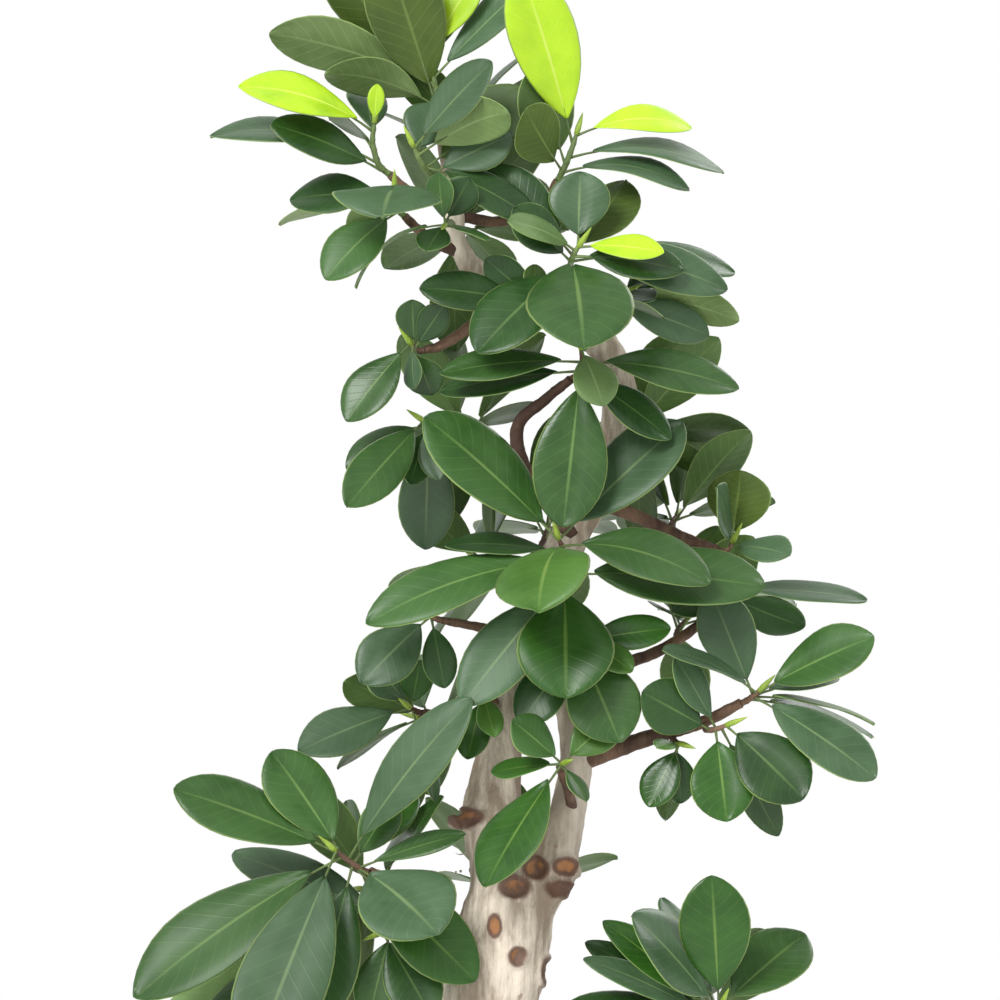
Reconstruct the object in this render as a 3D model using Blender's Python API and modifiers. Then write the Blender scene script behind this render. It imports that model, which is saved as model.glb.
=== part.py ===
"""An S-curved ficus bonsai in a round stoneware pot, as separate pieces.

The trunk stands in the soil, grafted branches sit in sockets in the trunk, and each leafy shoot
(a green stem with its leaves) starts a hair's breadth off the wood that bears it.
"""

import math
from collections import Counter

import bmesh
import bpy
from mathutils import Matrix, Vector, noise
from mathutils.bvhtree import BVHTree

CM = 0.01  # the plan below is in centimetres; the scene is in metres
GAP = 0.03  # cm, between pieces that touch in the real plant
GOLDEN_ANGLE = math.radians(137.5)

# ---------------------------------------------------------------- pot and soil
RIM_RADIUS = 10.2
RIM_TOP = 12.6
RIM_HEIGHT = 1.1
FOOT_RADIUS = 6.9
WALL = 0.75
FLOOR = 1.1
BOWL_BULGE = 0.9
SOIL_TOP = 11.1
SOIL_MOUND = 0.45
DRAIN_RADIUS = 0.8
DRAIN_CIRCLE = 3.6
DRAIN_HOLES = 3
POT_STEPS = 36

# ---------------------------------------------------------------- the tree, in centimetres
# X runs to the viewer's right, Y away from the viewer, Z up. The pot stands on Z = 0.
# Wood is a list of (x, y, z, radius); smooth_path() runs a curve through it.
TRUNK = [
    (0.9, 0.0, 9.6, 2.5), (0.7, 0.0, 11.6, 3.0), (0.0, 0.0, 13.6, 2.7), (-1.4, 0.1, 16.0, 2.4),
    (-2.2, 0.2, 18.4, 2.3), (-1.8, 0.2, 21.0, 2.15), (-0.6, 0.1, 23.6, 2.0), (0.1, 0.0, 26.0, 1.95),
    (0.5, 0.0, 28.0, 1.8), (0.2, 0.1, 29.6, 1.45), (-0.3, 0.3, 31.2, 1.2), (-0.05, 0.6, 33.4, 0.98),
    (0.3, 0.9, 35.8, 0.85), (1.4, 1.2, 39.4, 0.8), (2.8, 1.4, 42.5, 0.78), (4.3, 1.4, 45.2, 0.75),
    (4.9, 1.2, 47.8, 0.72), (4.2, 0.9, 50.1, 0.62), (2.0, 0.6, 51.6, 0.55), (-0.4, 0.4, 52.7, 0.5),
    (-1.7, 0.4, 54.2, 0.44), (-1.9, 0.6, 56.2, 0.36), (-2.3, 0.8, 58.8, 0.24),
]
LIMB = [
    (0.9, -0.1, 27.0, 1.0), (2.1, -0.2, 29.1, 0.88), (2.6, -0.2, 31.2, 0.74), (3.0, -0.1, 33.3, 0.66),
    (2.8, 0.1, 35.0, 0.52), (2.3, 0.0, 36.8, 0.42), (2.2, -0.3, 38.6, 0.34), (2.5, -0.8, 40.3, 0.26),
]
BRANCHES = {
    "branch_low_left": [
        (-0.6, -0.1, 26.0, 0.5), (-2.4, -0.4, 27.5, 0.42), (-4.1, -1.0, 28.6, 0.34), (-5.2, -1.6, 29.2, 0.26)],
    "branch_low_right": [
        (0.6, 0.1, 22.6, 0.5), (3.0, 0.4, 22.7, 0.4), (5.6, 0.0, 22.9, 0.33), (8.0, -0.6, 23.2, 0.24)],
    "branch_back_low": [
        (-0.6, 1.2, 24.6, 0.42), (-0.8, 3.6, 25.8, 0.34), (-0.2, 5.4, 27.0, 0.24)],
    "branch_left": [
        (-0.2, 0.8, 34.2, 0.34), (-1.5, 1.4, 35.0, 0.28), (-3.1, 1.9, 35.4, 0.2)],
    "branch_right": [
        (3.3, -0.1, 33.6, 0.4), (4.5, -0.1, 34.0, 0.36), (6.3, -0.2, 34.6, 0.3), (8.0, -0.6, 35.1, 0.25),
        (9.6, -1.0, 35.9, 0.2)],
    "branch_right_upper": [
        (2.6, 0.2, 36.4, 0.3), (4.3, 0.8, 37.2, 0.27), (6.3, 1.0, 37.9, 0.23), (8.0, 1.1, 39.0, 0.2),
        (8.8, 1.1, 40.0, 0.17)],
    "branch_front": [
        (2.9, -0.5, 31.6, 0.22), (2.7, -1.5, 32.5, 0.2), (2.4, -2.2, 33.3, 0.16)],
    "branch_left_twig": [
        (0.9, 0.9, 38.6, 0.22), (-0.8, 0.2, 38.9, 0.19), (-2.3, -0.3, 39.2, 0.15)],
    "branch_back_mid": [
        (1.6, 1.6, 39.9, 0.34), (1.0, 3.6, 40.8, 0.28), (1.6, 5.4, 42.0, 0.2)],
    "branch_mid_right": [
        (3.8, 1.6, 44.0, 0.32), (5.6, 1.9, 43.3, 0.27), (7.4, 1.8, 42.5, 0.22), (8.8, 1.6, 42.0, 0.18)],
    "branch_mid_left": [
        (3.2, 1.6, 43.4, 0.3), (0.8, 1.9, 45.4, 0.26), (-1.3, 1.1, 46.7, 0.21), (-2.6, 0.5, 47.0, 0.17)],
    "branch_mid_top": [
        (2.9, 0.9, 42.6, 0.34), (1.1, 0.0, 45.0, 0.3), (0.7, -0.3, 46.9, 0.26), (1.8, -0.8, 48.0, 0.22),
        (2.8, -1.2, 48.8, 0.18)],
    "branch_upper_left": [
        (0.4, 0.3, 52.2, 0.28), (-1.1, 0.0, 51.0, 0.24), (-2.3, -0.1, 50.2, 0.2), (-3.0, -0.2, 50.0, 0.16)],
    "branch_crown_left": [
        (-1.8, 0.3, 54.0, 0.26), (-2.8, -0.3, 54.4, 0.22), (-3.8, -0.8, 55.3, 0.17)],
    "branch_crown_high_left": [
        (-2.0, 0.5, 56.0, 0.22), (-3.5, 0.2, 56.3, 0.2), (-4.4, -0.2, 57.0, 0.16)],
    "branch_crown_high_right": [
        (-1.8, 0.6, 55.4, 0.24), (0.1, 1.0, 55.2, 0.21), (1.7, 0.9, 55.9, 0.19), (2.3, 0.7, 56.8, 0.16)],
    "branch_crown_right": [
        (2.8, 0.5, 51.2, 0.26), (2.8, -0.4, 52.2, 0.21), (2.8, -0.7, 53.0, 0.17)],
}
# A shoot grows from its branch at a share of the branch's length, up to its own end point.
# Its leaves are (share of the shoot, tip x, y, z, width, the way the upper side faces, arch in
# degrees, tone). Faces: F viewer, B back, L left, R right, U up, D down, letters adding up.
SHOOTS = {
    "shoot_crown_tip": ("trunk", 1.0, (-2.9, 0.9, 62.0), [
        (0.30, -4.6, -0.4, 66.0, 3.2, "BBU", 12, "o"), (0.55, -7.2, 0.6, 65.8, 2.8, "BU", 15, "o"),
        (0.60, -9.25, 0.2, 62.7, 2.4, "UUB", 48, "l"), (0.25, -7.0, -0.6, 61.0, 2.2, "UUB", 55, "l"),
        (0.85, -2.2, 1.7, 66.6, 2.6, "FU", 10, "o"), (0.98, -0.7, 1.2, 65.4, 1.7, "FU", 15, "y"),
        (0.70, 1.7, 0.4, 65.2, 2.0, "FU", 12, "s")]),
    "shoot_crown_front": ("trunk", 0.965, (-3.5, -0.9, 58.2), [
        (0.95, -0.3, -1.8, 61.4, 2.3, "FU", 15, "s"), (1.00, 0.35, -3.0, 59.3, 2.1, "UUB", 80, "l"),
        (0.80, -2.7, -1.2, 59.9, 2.0, "F", 10, "s"), (0.40, 1.05, 0.2, 60.5, 2.7, "BBR", 15, "d"),
        (0.20, 0.5, 0.2, 58.6, 2.1, "FU", 15, "s"), (0.35, 1.5, -0.9, 55.0, 2.0, "UF", 35, "d")]),
    "shoot_crown_high_left": ("branch_crown_high_left", 1.0, (-5.0, -0.5, 59.2), [
        (0.90, -10.4, -1.8, 60.4, 2.3, "FU", 50, "y"), (0.25, -11.6, -0.4, 58.5, 2.5, "UUF", 50, "s"),
        (0.10, -9.1, -2.0, 58.9, 2.3, "FFU", 20, "d"), (0.55, -6.9, 2.4, 59.4, 2.0, "UB", 30, "d"),
        (0.70, -5.6, 2.6, 60.8, 1.7, "UB", 25, "s"), (0.98, -4.9, -0.6, 60.6, 0.7, "F", 5, "y")]),
    "shoot_crown_left": ("branch_crown_left", 1.0, (-4.2, -1.3, 56.4), [
        (0.95, -4.6, -4.6, 55.0, 4.4, "UUF", 50, "s"), (0.60, -8.4, -0.2, 56.0, 2.4, "FU", 20, "d"),
        (0.35, -8.9, 1.6, 55.1, 2.1, "U", 22, "l"), (0.30, -6.1, -1.0, 54.8, 1.5, "UB", 30, "l"),
        (0.05, -6.9, -2.4, 52.7, 2.3, "FU", 35, "g")]),
    "shoot_crown_inner": ("trunk", 0.93, (-2.2, -1.6, 54.9), [
        (0.90, -2.4, -2.0, 57.0, 1.6, "LF", 15, "g"), (0.95, -1.2, -1.9, 56.8, 1.5, "F", 15, "d"),
        (1.00, -2.9, -3.0, 53.8, 1.4, "FU", 20, "g"), (1.00, -0.5, -3.0, 54.2, 1.4, "FU", 20, "g"),
        (0.70, -5.75, -1.4, 52.4, 1.9, "U", 72, "g")]),
    "shoot_crown_high_right": ("branch_crown_high_right", 1.0, (3.1, 0.7, 58.8), [
        (0.30, 1.6, 0.0, 61.5, 3.3, "BBL", 14, "d"), (0.85, 0.8, 1.8, 65.2, 3.0, "FU", 18, "y"),
        (0.45, 9.05, 1.8, 57.2, 2.3, "UUF", 50, "s"), (0.12, 7.6, 0.2, 56.4, 2.1, "UUF", 58, "s"),
        (0.95, 7.75, 1.8, 59.0, 1.7, "UF", 62, "y"), (0.02, 1.0, -0.6, 59.5, 2.4, "BBL", 12, "o")]),
    "shoot_crown_right": ("branch_crown_right", 1.0, (3.2, -1.1, 54.2), [
        (1.00, 3.2, -0.6, 57.1, 2.5, "FU", 14, "s"), (0.95, 6.5, -2.2, 53.8, 1.5, "FU", 22, "y"),
        (0.90, 0.3, -2.8, 55.0, 1.7, "UF", 32, "l"), (0.35, -0.4, -0.4, 57.4, 2.1, "F", 12, "d"),
        (0.20, 0.5, -1.2, 55.6, 1.8, "F", 12, "d"), (0.40, 7.3, -1.6, 53.1, 2.2, "UF", 20, "d"),
        (0.50, 9.1, -0.2, 52.4, 2.2, "UUF", 45, "s"), (0.60, 5.1, 1.4, 56.9, 2.6, "BBR", 12, "o"),
        (0.30, 9.5, 2.2, 53.2, 2.0, "UF", 35, "d"), (0.10, 3.3, -5.8, 49.8, 4.3, "UUF", 42, "g"),
        (0.05, -0.9, -3.2, 49.8, 3.0, "FU", 18, "d")]),
    "shoot_crown_under": ("trunk", 0.80, (5.0, 0.3, 52.3), [
        (0.90, 9.6, 0.6, 51.2, 2.0, "UB", 35, "l"), (0.95, 6.2, -0.9, 52.0, 1.2, "UF", 10, "s"),
        (0.60, 8.4, 1.4, 50.6, 1.7, "UF", 50, "s"), (1.00, 8.0, 2.4, 53.8, 2.0, "UF", 20, "s"),
        (0.40, 6.5, 0.4, 51.2, 1.0, "U", 20, "g")]),
    "shoot_mid_top": ("branch_mid_top", 1.0, (3.2, -1.8, 50.1), [
        (0.40, -2.4, -2.0, 49.0, 1.8, "FU", 22, "g"), (0.95, 4.1, -3.2, 47.7, 1.8, "FU", 25, "l"),
        (0.60, 9.5, -1.6, 48.4, 2.3, "FU", 30, "g"), (0.15, 2.5, -2.6, 42.9, 3.0, "F", 14, "g"),
        (0.10, 6.8, -1.6, 46.4, 1.9, "FU", 16, "d"), (0.02, -2.4, -0.6, 48.3, 1.8, "FU", 16, "d")]),
    "shoot_mid_cross": ("trunk", 0.835, (1.1, -1.0, 51.9), [
        (0.95, -3.2, -2.0, 52.4, 1.9, "UF", 22, "d"), (0.60, -0.6, -1.2, 53.6, 1.5, "F", 14, "d"),
        (0.80, 1.0, -2.4, 53.4, 1.2, "F", 10, "o")]),
    "shoot_upper_left": ("branch_upper_left", 1.0, (-3.6, -0.4, 50.3), [
        (0.90, -6.1, -1.4, 47.1, 2.1, "FU", 24, "g"), (0.95, -3.4, -1.0, 48.4, 1.1, "LF", 10, "s"),
        (0.60, -3.5, -0.9, 52.0, 1.4, "F", 10, "g"), (0.10, -2.2, -1.2, 51.8, 1.3, "F", 10, "d"),
        (0.05, -2.7, -1.0, 48.2, 1.6, "F", 10, "g")]),
    "shoot_mid_left": ("branch_mid_left", 1.0, (-3.1, 0.3, 47.2), [
        (0.95, -6.15, 0.4, 45.2, 2.0, "FU", 18, "g"), (1.00, -6.05, -1.2, 43.7, 2.1, "FU", 22, "g"),
        (0.70, -3.6, -0.6, 44.6, 1.4, "F", 12, "d"), (0.50, -2.4, -0.8, 44.8, 1.3, "F", 12, "s"),
        (0.30, -3.4, 1.2, 43.9, 1.3, "F", 12, "g"), (0.10, -3.0, 0.2, 42.0, 2.3, "F", 15, "s")]),
    "shoot_center": ("limb", 1.0, (2.3, -1.6, 42.6), [
        (1.00, -3.0, -2.4, 47.3, 3.5, "FU", 14, "g"), (0.97, 7.3, -1.8, 47.1, 3.1, "FU", 12, "s"),
        (0.85, 8.3, -3.6, 40.7, 2.7, "UF", 55, "g"), (0.20, 10.5, -2.2, 40.6, 3.4, "FU", 14, "g"),
        (0.90, 1.5, -5.8, 39.6, 4.0, "UUF", 48, "b"), (0.55, -5.3, -3.2, 39.1, 2.7, "FU", 40, "g"),
        (0.08, 2.6, -3.9, 36.2, 3.9, "FFU", 26, "v"), (0.70, -2.2, -1.4, 42.2, 1.8, "FU", 20, "d"),
        (0.04, -1.5, -2.8, 35.9, 2.6, "FFU", 15, "s")]),
    "shoot_center_low": ("limb", 0.80, (3.0, -1.4, 38.8), [
        (0.85, 4.75, -2.8, 34.4, 3.0, "FFU", 20, "g"), (1.00, 5.25, -2.4, 37.2, 1.5, "FU", 16, "b"),
        (0.95, 6.8, -1.8, 38.9, 1.6, "FU", 14, "v"), (0.45, 0.8, -2.0, 35.1, 2.0, "FFU", 14, "d")]),
    "shoot_left_twig": ("branch_left_twig", 1.0, (-2.9, -0.5, 39.5), [
        (0.90, -5.5, -1.8, 36.7, 2.4, "FFU", 20, "s"), (0.10, -2.2, -1.0, 36.5, 1.4, "F", 14, "d"),
        (1.00, -3.7, -0.4, 40.4, 1.0, "FU", 14, "b"), (0.50, -1.9, -1.6, 41.2, 1.3, "FU", 14, "g")]),
    "shoot_left": ("branch_left", 1.0, (-3.7, 1.6, 35.7), [
        (0.95, -5.4, 0.8, 37.7, 2.2, "FU", 12, "s"), (0.90, -8.1, 0.4, 33.9, 2.5, "FU", 15, "s"),
        (0.60, -3.2, 0.6, 37.6, 1.4, "F", 12, "v"), (0.20, -2.6, 0.4, 31.9, 1.1, "FR", 10, "s")]),
    "shoot_low_left": ("branch_low_left", 1.0, (-6.6, -2.2, 30.2), [
        (1.00, -12.9, -3.0, 32.6, 3.1, "FU", 14, "g"), (0.70, -9.1, -1.2, 34.0, 2.9, "FFU", 12, "g"),
        (0.55, -1.1, -3.0, 36.2, 2.6, "FU", 24, "s"), (0.85, -14.4, -3.8, 24.4, 3.6, "FU", 24, "g"),
        (0.95, -9.7, -5.0, 21.9, 3.6, "FFU", 20, "s"), (0.08, -2.4, -5.0, 27.0, 4.1, "FU", 30, "s"),
        (0.04, -0.95, -3.4, 25.0, 2.9, "FFU", 15, "v"), (0.30, -7.4, -3.4, 23.2, 2.6, "FFU", 14, "d"),
        (0.45, -4.2, -0.8, 32.1, 1.6, "F", 12, "g"), (0.30, -3.4, 0.2, 32.1, 1.5, "F", 12, "v"),
        (0.15, -1.35, -2.4, 30.8, 1.2, "UF", 14, "g")]),
    "shoot_low_left_under": ("branch_low_left", 0.62, (-4.8, -1.8, 26.8), [
        (0.95, -2.7, -3.0, 23.6, 2.3, "FFU", 14, "d"), (1.00, -5.2, -3.4, 23.4, 1.8, "FFU", 16, "g"),
        (0.90, -11.9, -1.8, 23.0, 2.6, "FU", 20, "d"), (0.80, -14.2, -0.8, 22.6, 2.4, "FU", 25, "l"),
        (0.50, -10.8, 1.6, 29.8, 2.3, "FU", 14, "s")]),
    "shoot_trunk_front": ("trunk", 0.50, (-0.8, -0.9, 36.4), [
        (0.80, -1.3, -1.9, 33.7, 1.4, "FU", 12, "v"), (1.00, -0.2, -2.1, 34.6, 1.1, "FU", 12, "b")]),
    "shoot_front": ("branch_front", 1.0, (2.5, -2.7, 33.6), [
        (0.80, 0.45, -2.9, 35.3, 2.0, "FU", 10, "g"), (0.30, -0.35, -2.2, 33.2, 1.6, "FU", 12, "v"),
        (0.90, -0.6, -4.4, 28.8, 3.1, "FFU", 12, "v"), (1.00, 4.7, -2.4, 35.5, 1.8, "FU", 12, "b"),
        (0.70, 3.4, -3.2, 32.1, 1.2, "FU", 12, "g")]),
    "shoot_right_tip": ("branch_right", 1.0, (10.4, -1.2, 36.5), [
        (1.00, 14.85, -1.8, 38.6, 2.8, "FU", 14, "g"), (0.50, 14.85, -2.8, 33.0, 2.6, "FU", 18, "s"),
        (0.70, 6.4, -3.2, 38.1, 2.0, "UUF", 30, "s"), (0.25, 8.4, -0.8, 40.4, 2.3, "F", 12, "s"),
        (0.60, 13.6, 0.8, 36.9, 1.6, "UUF", 14, "s"), (0.80, 15.05, 0.6, 35.0, 1.6, "UUF", 26, "l"),
        (0.40, 15.1, 2.4, 34.4, 1.8, "UUF", 20, "s")]),
    "shoot_right_mid": ("branch_right", 0.76, (9.1, -1.6, 35.1), [
        (0.95, 12.0, -3.2, 32.2, 2.9, "FFU", 18, "d"), (0.35, 8.95, -3.0, 31.3, 2.6, "FFU", 18, "v"),
        (0.60, 6.9, -2.2, 37.8, 1.5, "FU", 12, "s"), (0.20, 5.6, -2.4, 36.4, 2.3, "FFU", 12, "d"),
        (0.80, 11.1, -0.9, 30.6, 1.5, "F", 12, "g")]),
    "shoot_right_inner": ("branch_right", 0.56, (7.2, -1.1, 34.3), [
        (0.90, 5.9, -1.6, 31.8, 1.6, "FU", 12, "v"), (1.00, 7.2, -1.8, 31.9, 1.4, "FU", 12, "d"),
        (0.60, 6.7, 0.8, 31.0, 1.2, "FU", 12, "g"), (1.00, 6.2, -2.4, 34.2, 0.9, "UF", 12, "b")]),
    "shoot_right_high": ("branch_mid_right", 1.0, (9.4, 1.4, 42.4), [
        (0.90, 9.7, 1.4, 45.2, 2.9, "BBR", 12, "o"), (0.80, 11.6, -0.4, 41.8, 1.8, "UF", 18, "s"),
        (0.20, 8.6, -0.8, 44.5, 2.2, "FU", 20, "s")]),
    "shoot_right_upper": ("branch_right_upper", 1.0, (9.3, 0.9, 40.5), [
        (0.90, 14.8, 1.6, 39.95, 2.0, "UUF", 18, "s"), (0.60, 12.0, 0.2, 39.8, 1.6, "UF", 20, "v"),
        (0.30, 12.3, 1.6, 38.9, 1.9, "F", 14, "d"), (0.10, 6.9, -0.2, 39.5, 1.6, "FU", 12, "d")]),
    "shoot_low_right": ("branch_low_right", 1.0, (8.8, -1.0, 23.9), [
        (1.00, 8.4, -1.6, 29.1, 2.9, "FFU", 10, "v"), (0.80, 5.2, -2.6, 27.6, 3.5, "FU", 16, "s"),
        (0.95, 12.3, -1.2, 26.5, 2.9, "FU", 12, "g"), (0.40, 4.1, -0.4, 27.2, 1.7, "FU", 16, "v"),
        (0.60, 6.5, 0.6, 28.0, 1.9, "FU", 16, "s"), (0.25, 3.4, 0.2, 26.3, 1.5, "UF", 18, "d"),
        (0.20, 3.3, -1.6, 25.8, 1.4, "UF", 18, "s"), (0.08, 2.2, -2.7, 23.4, 2.8, "FU", 16, "d")]),
}
# Shoots that fill the crown's back and the pads' undersides: their leaves follow a spiral.
# (branch, share of its length, end point, leaves, leaf length)
FILLED = {
    "shoot_low_right_back": ("branch_low_right", 0.86, (8.4, 1.6, 23.2), 7, 5.2),
    "shoot_low_left_back": ("branch_low_left", 0.80, (-5.6, 0.8, 28.4), 7, 5.4),
    "shoot_back_low": ("branch_back_low", 1.0, (0.2, 6.8, 28.2), 8, 5.6),
    "shoot_left_back": ("branch_left", 0.80, (-3.4, 3.4, 35.2), 6, 5.0),
    "shoot_upper_right_back": ("branch_right_upper", 0.70, (7.6, 2.9, 39.2), 6, 5.0),
    "shoot_back_mid": ("branch_back_mid", 1.0, (2.0, 6.8, 43.0), 8, 5.8),
    "shoot_back_mid_left": ("branch_back_mid", 0.62, (-0.9, 4.9, 41.6), 6, 5.2),
    "shoot_mid_right_back": ("branch_mid_right", 0.60, (7.2, 3.6, 43.4), 6, 5.0),
    "shoot_mid_left_back": ("branch_mid_left", 0.72, (-1.6, 3.0, 47.0), 7, 5.2),
    "shoot_trunk_back": ("trunk", 0.715, (5.6, 3.4, 46.8), 7, 5.4),
    "shoot_crown_back": ("trunk", 0.93, (-1.6, 2.8, 55.0), 7, 5.4),
    "shoot_crown_back_high": ("trunk", 0.97, (-1.6, 2.6, 59.6), 7, 5.4),
}

# ---------------------------------------------------------------- surface roots
# (direction in degrees, how far they run from the trunk's foot, thickness)
ROOTS = [(8, 4.6, 1.1), (62, 3.8, 0.9), (118, 4.2, 1.0), (171, 5.2, 1.15), (232, 4.4, 0.95), (301, 5.0, 1.1)]
ROOT_CROWN = (0.6, 0.0, 13.4)
GNARLED_UP_TO = 45

# ---------------------------------------------------------------- leaves
PETIOLE_SHARE = 0.13
PETIOLE_RADIUS = 0.055
OWN_CLEARANCE = 0.01
LEAF_THICKNESS = 0.1
LEAF_FOLD = 0.16
STATIONS = (0.28, 0.62, 0.88)
STEM_RADIUS = 0.13
BUD_RADIUS = 0.02
FIRST_LEAF = 0.4  # cm from the shoot's foot to its lowest leaf
HIGHEST_LEAF = 0.92
RING_SPACING = 0.3
FACE_TRIES = 7
CLEARANCE = 0.045
DEPTH_TRIES = (0, -0.5, 0.5, -1.0, 1.0, -1.6, 1.6, -2.3, 2.3, -3.1, 3.1, -4.0, 4.0)
ROLL_TRIES = (0, 16, -16, 34, -34)
SIDE_TRIES = ((0, 0), (0.35, 0), (-0.35, 0), (0, 0.35), (0, -0.35), (0.6, 0.6), (-0.6, -0.6))
FACES = {
    "F": (0, -1, 0), "B": (0, 1, 0), "L": (-1, 0, 0), "R": (1, 0, 0), "U": (0, 0, 1), "D": (0, 0, -1)}

COLOURS = {
    "d": (0.030, 0.070, 0.028), "g": (0.045, 0.105, 0.035), "s": (0.075, 0.135, 0.080),
    "b": (0.060, 0.150, 0.035), "v": (0.040, 0.095, 0.030), "l": (0.120, 0.190, 0.080),
    "o": (0.060, 0.120, 0.015), "y": (0.330, 0.480, 0.030)}
BARK = (0.42, 0.35, 0.27)
TWIG_BARK = (0.16, 0.085, 0.05)
STONEWARE = (0.52, 0.49, 0.44)
SOIL = (0.055, 0.036, 0.024)


def smooth_path(points, steps=4):
    """Catmull-Rom points (x, y, z, radius) through the given ones."""
    known = [Vector(point) for point in points]
    known = [2 * known[0] - known[1], *known, 2 * known[-1] - known[-2]]
    path = []
    for a, b, c, d in zip(known, known[1:], known[2:], known[3:]):
        for step in range(steps):
            t = step / steps
            curve = 2 * b + (c - a) * t + (2 * a - 5 * b + 4 * c - d) * t**2
            path.append((curve + (3 * b - a - 3 * c + d) * t**3) / 2)
    return path + [known[-2]]


def point_along(path, share):
    """The point (x, y, z, radius) at a share of the path's length, and the path's direction there."""
    lengths = [(b.xyz - a.xyz).length for a, b in zip(path, path[1:])]
    left = share * sum(lengths)
    for index, length in enumerate(lengths):
        if left <= length or index == len(lengths) - 1:
            a, b = path[index], path[index + 1]
            return a.lerp(b, min(left / length, 1)), (b.xyz - a.xyz).normalized()
        left -= length


def mesh_object(name, mesh):
    made = bpy.data.objects.new(name, mesh)
    workshop.objects.link(made)
    return made


def tube(name, path, sides_setting, swell=0.0):
    """A closed mesh tube along (x, y, z, radius) points; swell is added to every radius."""
    curve = bpy.data.curves.new(name, "CURVE")
    curve.dimensions = "3D"
    curve.bevel_depth = CM
    curve.bevel_resolution = sides_setting
    curve.use_fill_caps = True
    spline = curve.splines.new("POLY")
    spline.points.add(len(path) - 1)
    for point, (x, y, z, radius) in zip(spline.points, path):
        point.co = (x * CM, y * CM, z * CM, 1)
        point.radius = radius + swell
    guide = mesh_object(name + "_guide", curve)
    bpy.context.view_layer.update()
    mesh = bpy.data.meshes.new_from_object(guide.evaluated_get(bpy.context.evaluated_depsgraph_get()))
    bpy.data.objects.remove(guide)
    return mesh_object(name, welded(mesh))


def welded(mesh):
    shape = bmesh.new()
    shape.from_mesh(mesh)
    bmesh.ops.remove_doubles(shape, verts=shape.verts, dist=CM * 0.001)
    bmesh.ops.recalc_face_normals(shape, faces=shape.faces)
    shape.to_mesh(mesh)
    shape.free()
    return mesh


def combined(base, others, operation):
    """The base object's mesh after one Boolean with all the others, which are removed."""
    operands = bpy.data.collections.new("operands")
    for other in others:
        workshop.objects.unlink(other)
        operands.objects.link(other)
    workshop.children.link(operands)
    boolean = base.modifiers.new("combine", "BOOLEAN")
    boolean.operation = operation
    boolean.operand_type = "COLLECTION"
    boolean.collection = operands
    boolean.solver = "EXACT"
    bpy.context.view_layer.update()
    mesh = bpy.data.meshes.new_from_object(base.evaluated_get(bpy.context.evaluated_depsgraph_get()))
    base.modifiers.clear()
    base.data = mesh
    for other in others:
        bpy.data.objects.remove(other)
    bpy.data.collections.remove(operands)
    return base


def finish(made, colour, roughness=0.6):
    """Gives a piece its material and moves it to the tree's own collection."""
    material = bpy.data.materials.new(made.name)
    material.use_nodes = True
    shader = material.node_tree.nodes["Principled BSDF"]
    shader.inputs["Base Color"].default_value = (*colour, 1)
    shader.inputs["Roughness"].default_value = roughness
    made.data.materials.clear()
    made.data.materials.append(material)
    workshop.objects.unlink(made)
    tree.objects.link(made)
    return made


# ---------------------------------------------------------------- pot and soil
def bowl_radius(z):
    """The pot's outer radius at a height below its rim."""
    rise = z / (RIM_TOP - RIM_HEIGHT)
    straight = FOOT_RADIUS + (RIM_RADIUS - WALL / 2 - FOOT_RADIUS) * rise
    return straight + BOWL_BULGE * math.sin(math.pi * rise) * (1 - rise / 2)


def turned(name, profile):
    """A solid turned about Z from (radius, height) points that start and end on the axis."""
    mesh = bpy.data.meshes.new(name)
    edges = [(i, i + 1) for i in range(len(profile) - 1)]
    mesh.from_pydata([(r * CM, 0, z * CM) for r, z in profile], edges, [])
    made = mesh_object(name, mesh)
    screw = made.modifiers.new("turn", "SCREW")
    screw.steps = POT_STEPS
    screw.render_steps = POT_STEPS
    screw.use_merge_vertices = True
    screw.merge_threshold = 0.00001
    bpy.context.view_layer.update()
    mesh = bpy.data.meshes.new_from_object(made.evaluated_get(bpy.context.evaluated_depsgraph_get()))
    made.modifiers.clear()
    made.data = welded(mesh)
    return made


def build_pot():
    band_foot = RIM_TOP - RIM_HEIGHT
    heights = [band_foot * step / 5 for step in range(6)]
    inside = [(bowl_radius(z) - WALL, max(z, FLOOR)) for z in heights[1:]]
    outside = [(bowl_radius(z), z) for z in reversed(heights)]
    rim = [
        (RIM_RADIUS - WALL, band_foot + 0.3), (RIM_RADIUS - WALL, RIM_TOP - 0.15),
        (RIM_RADIUS - WALL + 0.15, RIM_TOP), (RIM_RADIUS - 0.2, RIM_TOP), (RIM_RADIUS, RIM_TOP - 0.2),
        (RIM_RADIUS, band_foot + 0.12), (RIM_RADIUS - 0.12, band_foot)]
    pot = turned("pot", [(0, FLOOR), *inside, *rim, *outside, (0, 0)])
    drills = []
    for hole in range(DRAIN_HOLES):
        angle = math.radians(90 + 360 * hole / DRAIN_HOLES)
        bpy.ops.mesh.primitive_cylinder_add(
            vertices=20, radius=DRAIN_RADIUS * CM, depth=4 * FLOOR * CM,
            location=(DRAIN_CIRCLE * CM * math.cos(angle), DRAIN_CIRCLE * CM * math.sin(angle), 0))
        drill = bpy.context.object
        for collection in list(drill.users_collection):
            collection.objects.unlink(drill)
        workshop.objects.link(drill)
        drills.append(drill)
    return combined(pot, drills, "DIFFERENCE")


def build_soil(trunk_mould):
    band_foot = RIM_TOP - RIM_HEIGHT
    heights = [band_foot * step / 5 for step in range(1, 6)]
    side = [(bowl_radius(z) - WALL - GAP, max(z, FLOOR + GAP)) for z in heights if z < SOIL_TOP]
    top_radius = bowl_radius(SOIL_TOP) - WALL - GAP
    mound = [(top_radius * share, SOIL_TOP + SOIL_MOUND * (1 - share**2)) for share in (0, 0.4, 0.75, 1)]
    soil = turned("soil", [*mound, *reversed(side), (0, FLOOR + GAP)])
    return combined(soil, [trunk_mould], "DIFFERENCE")


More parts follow.
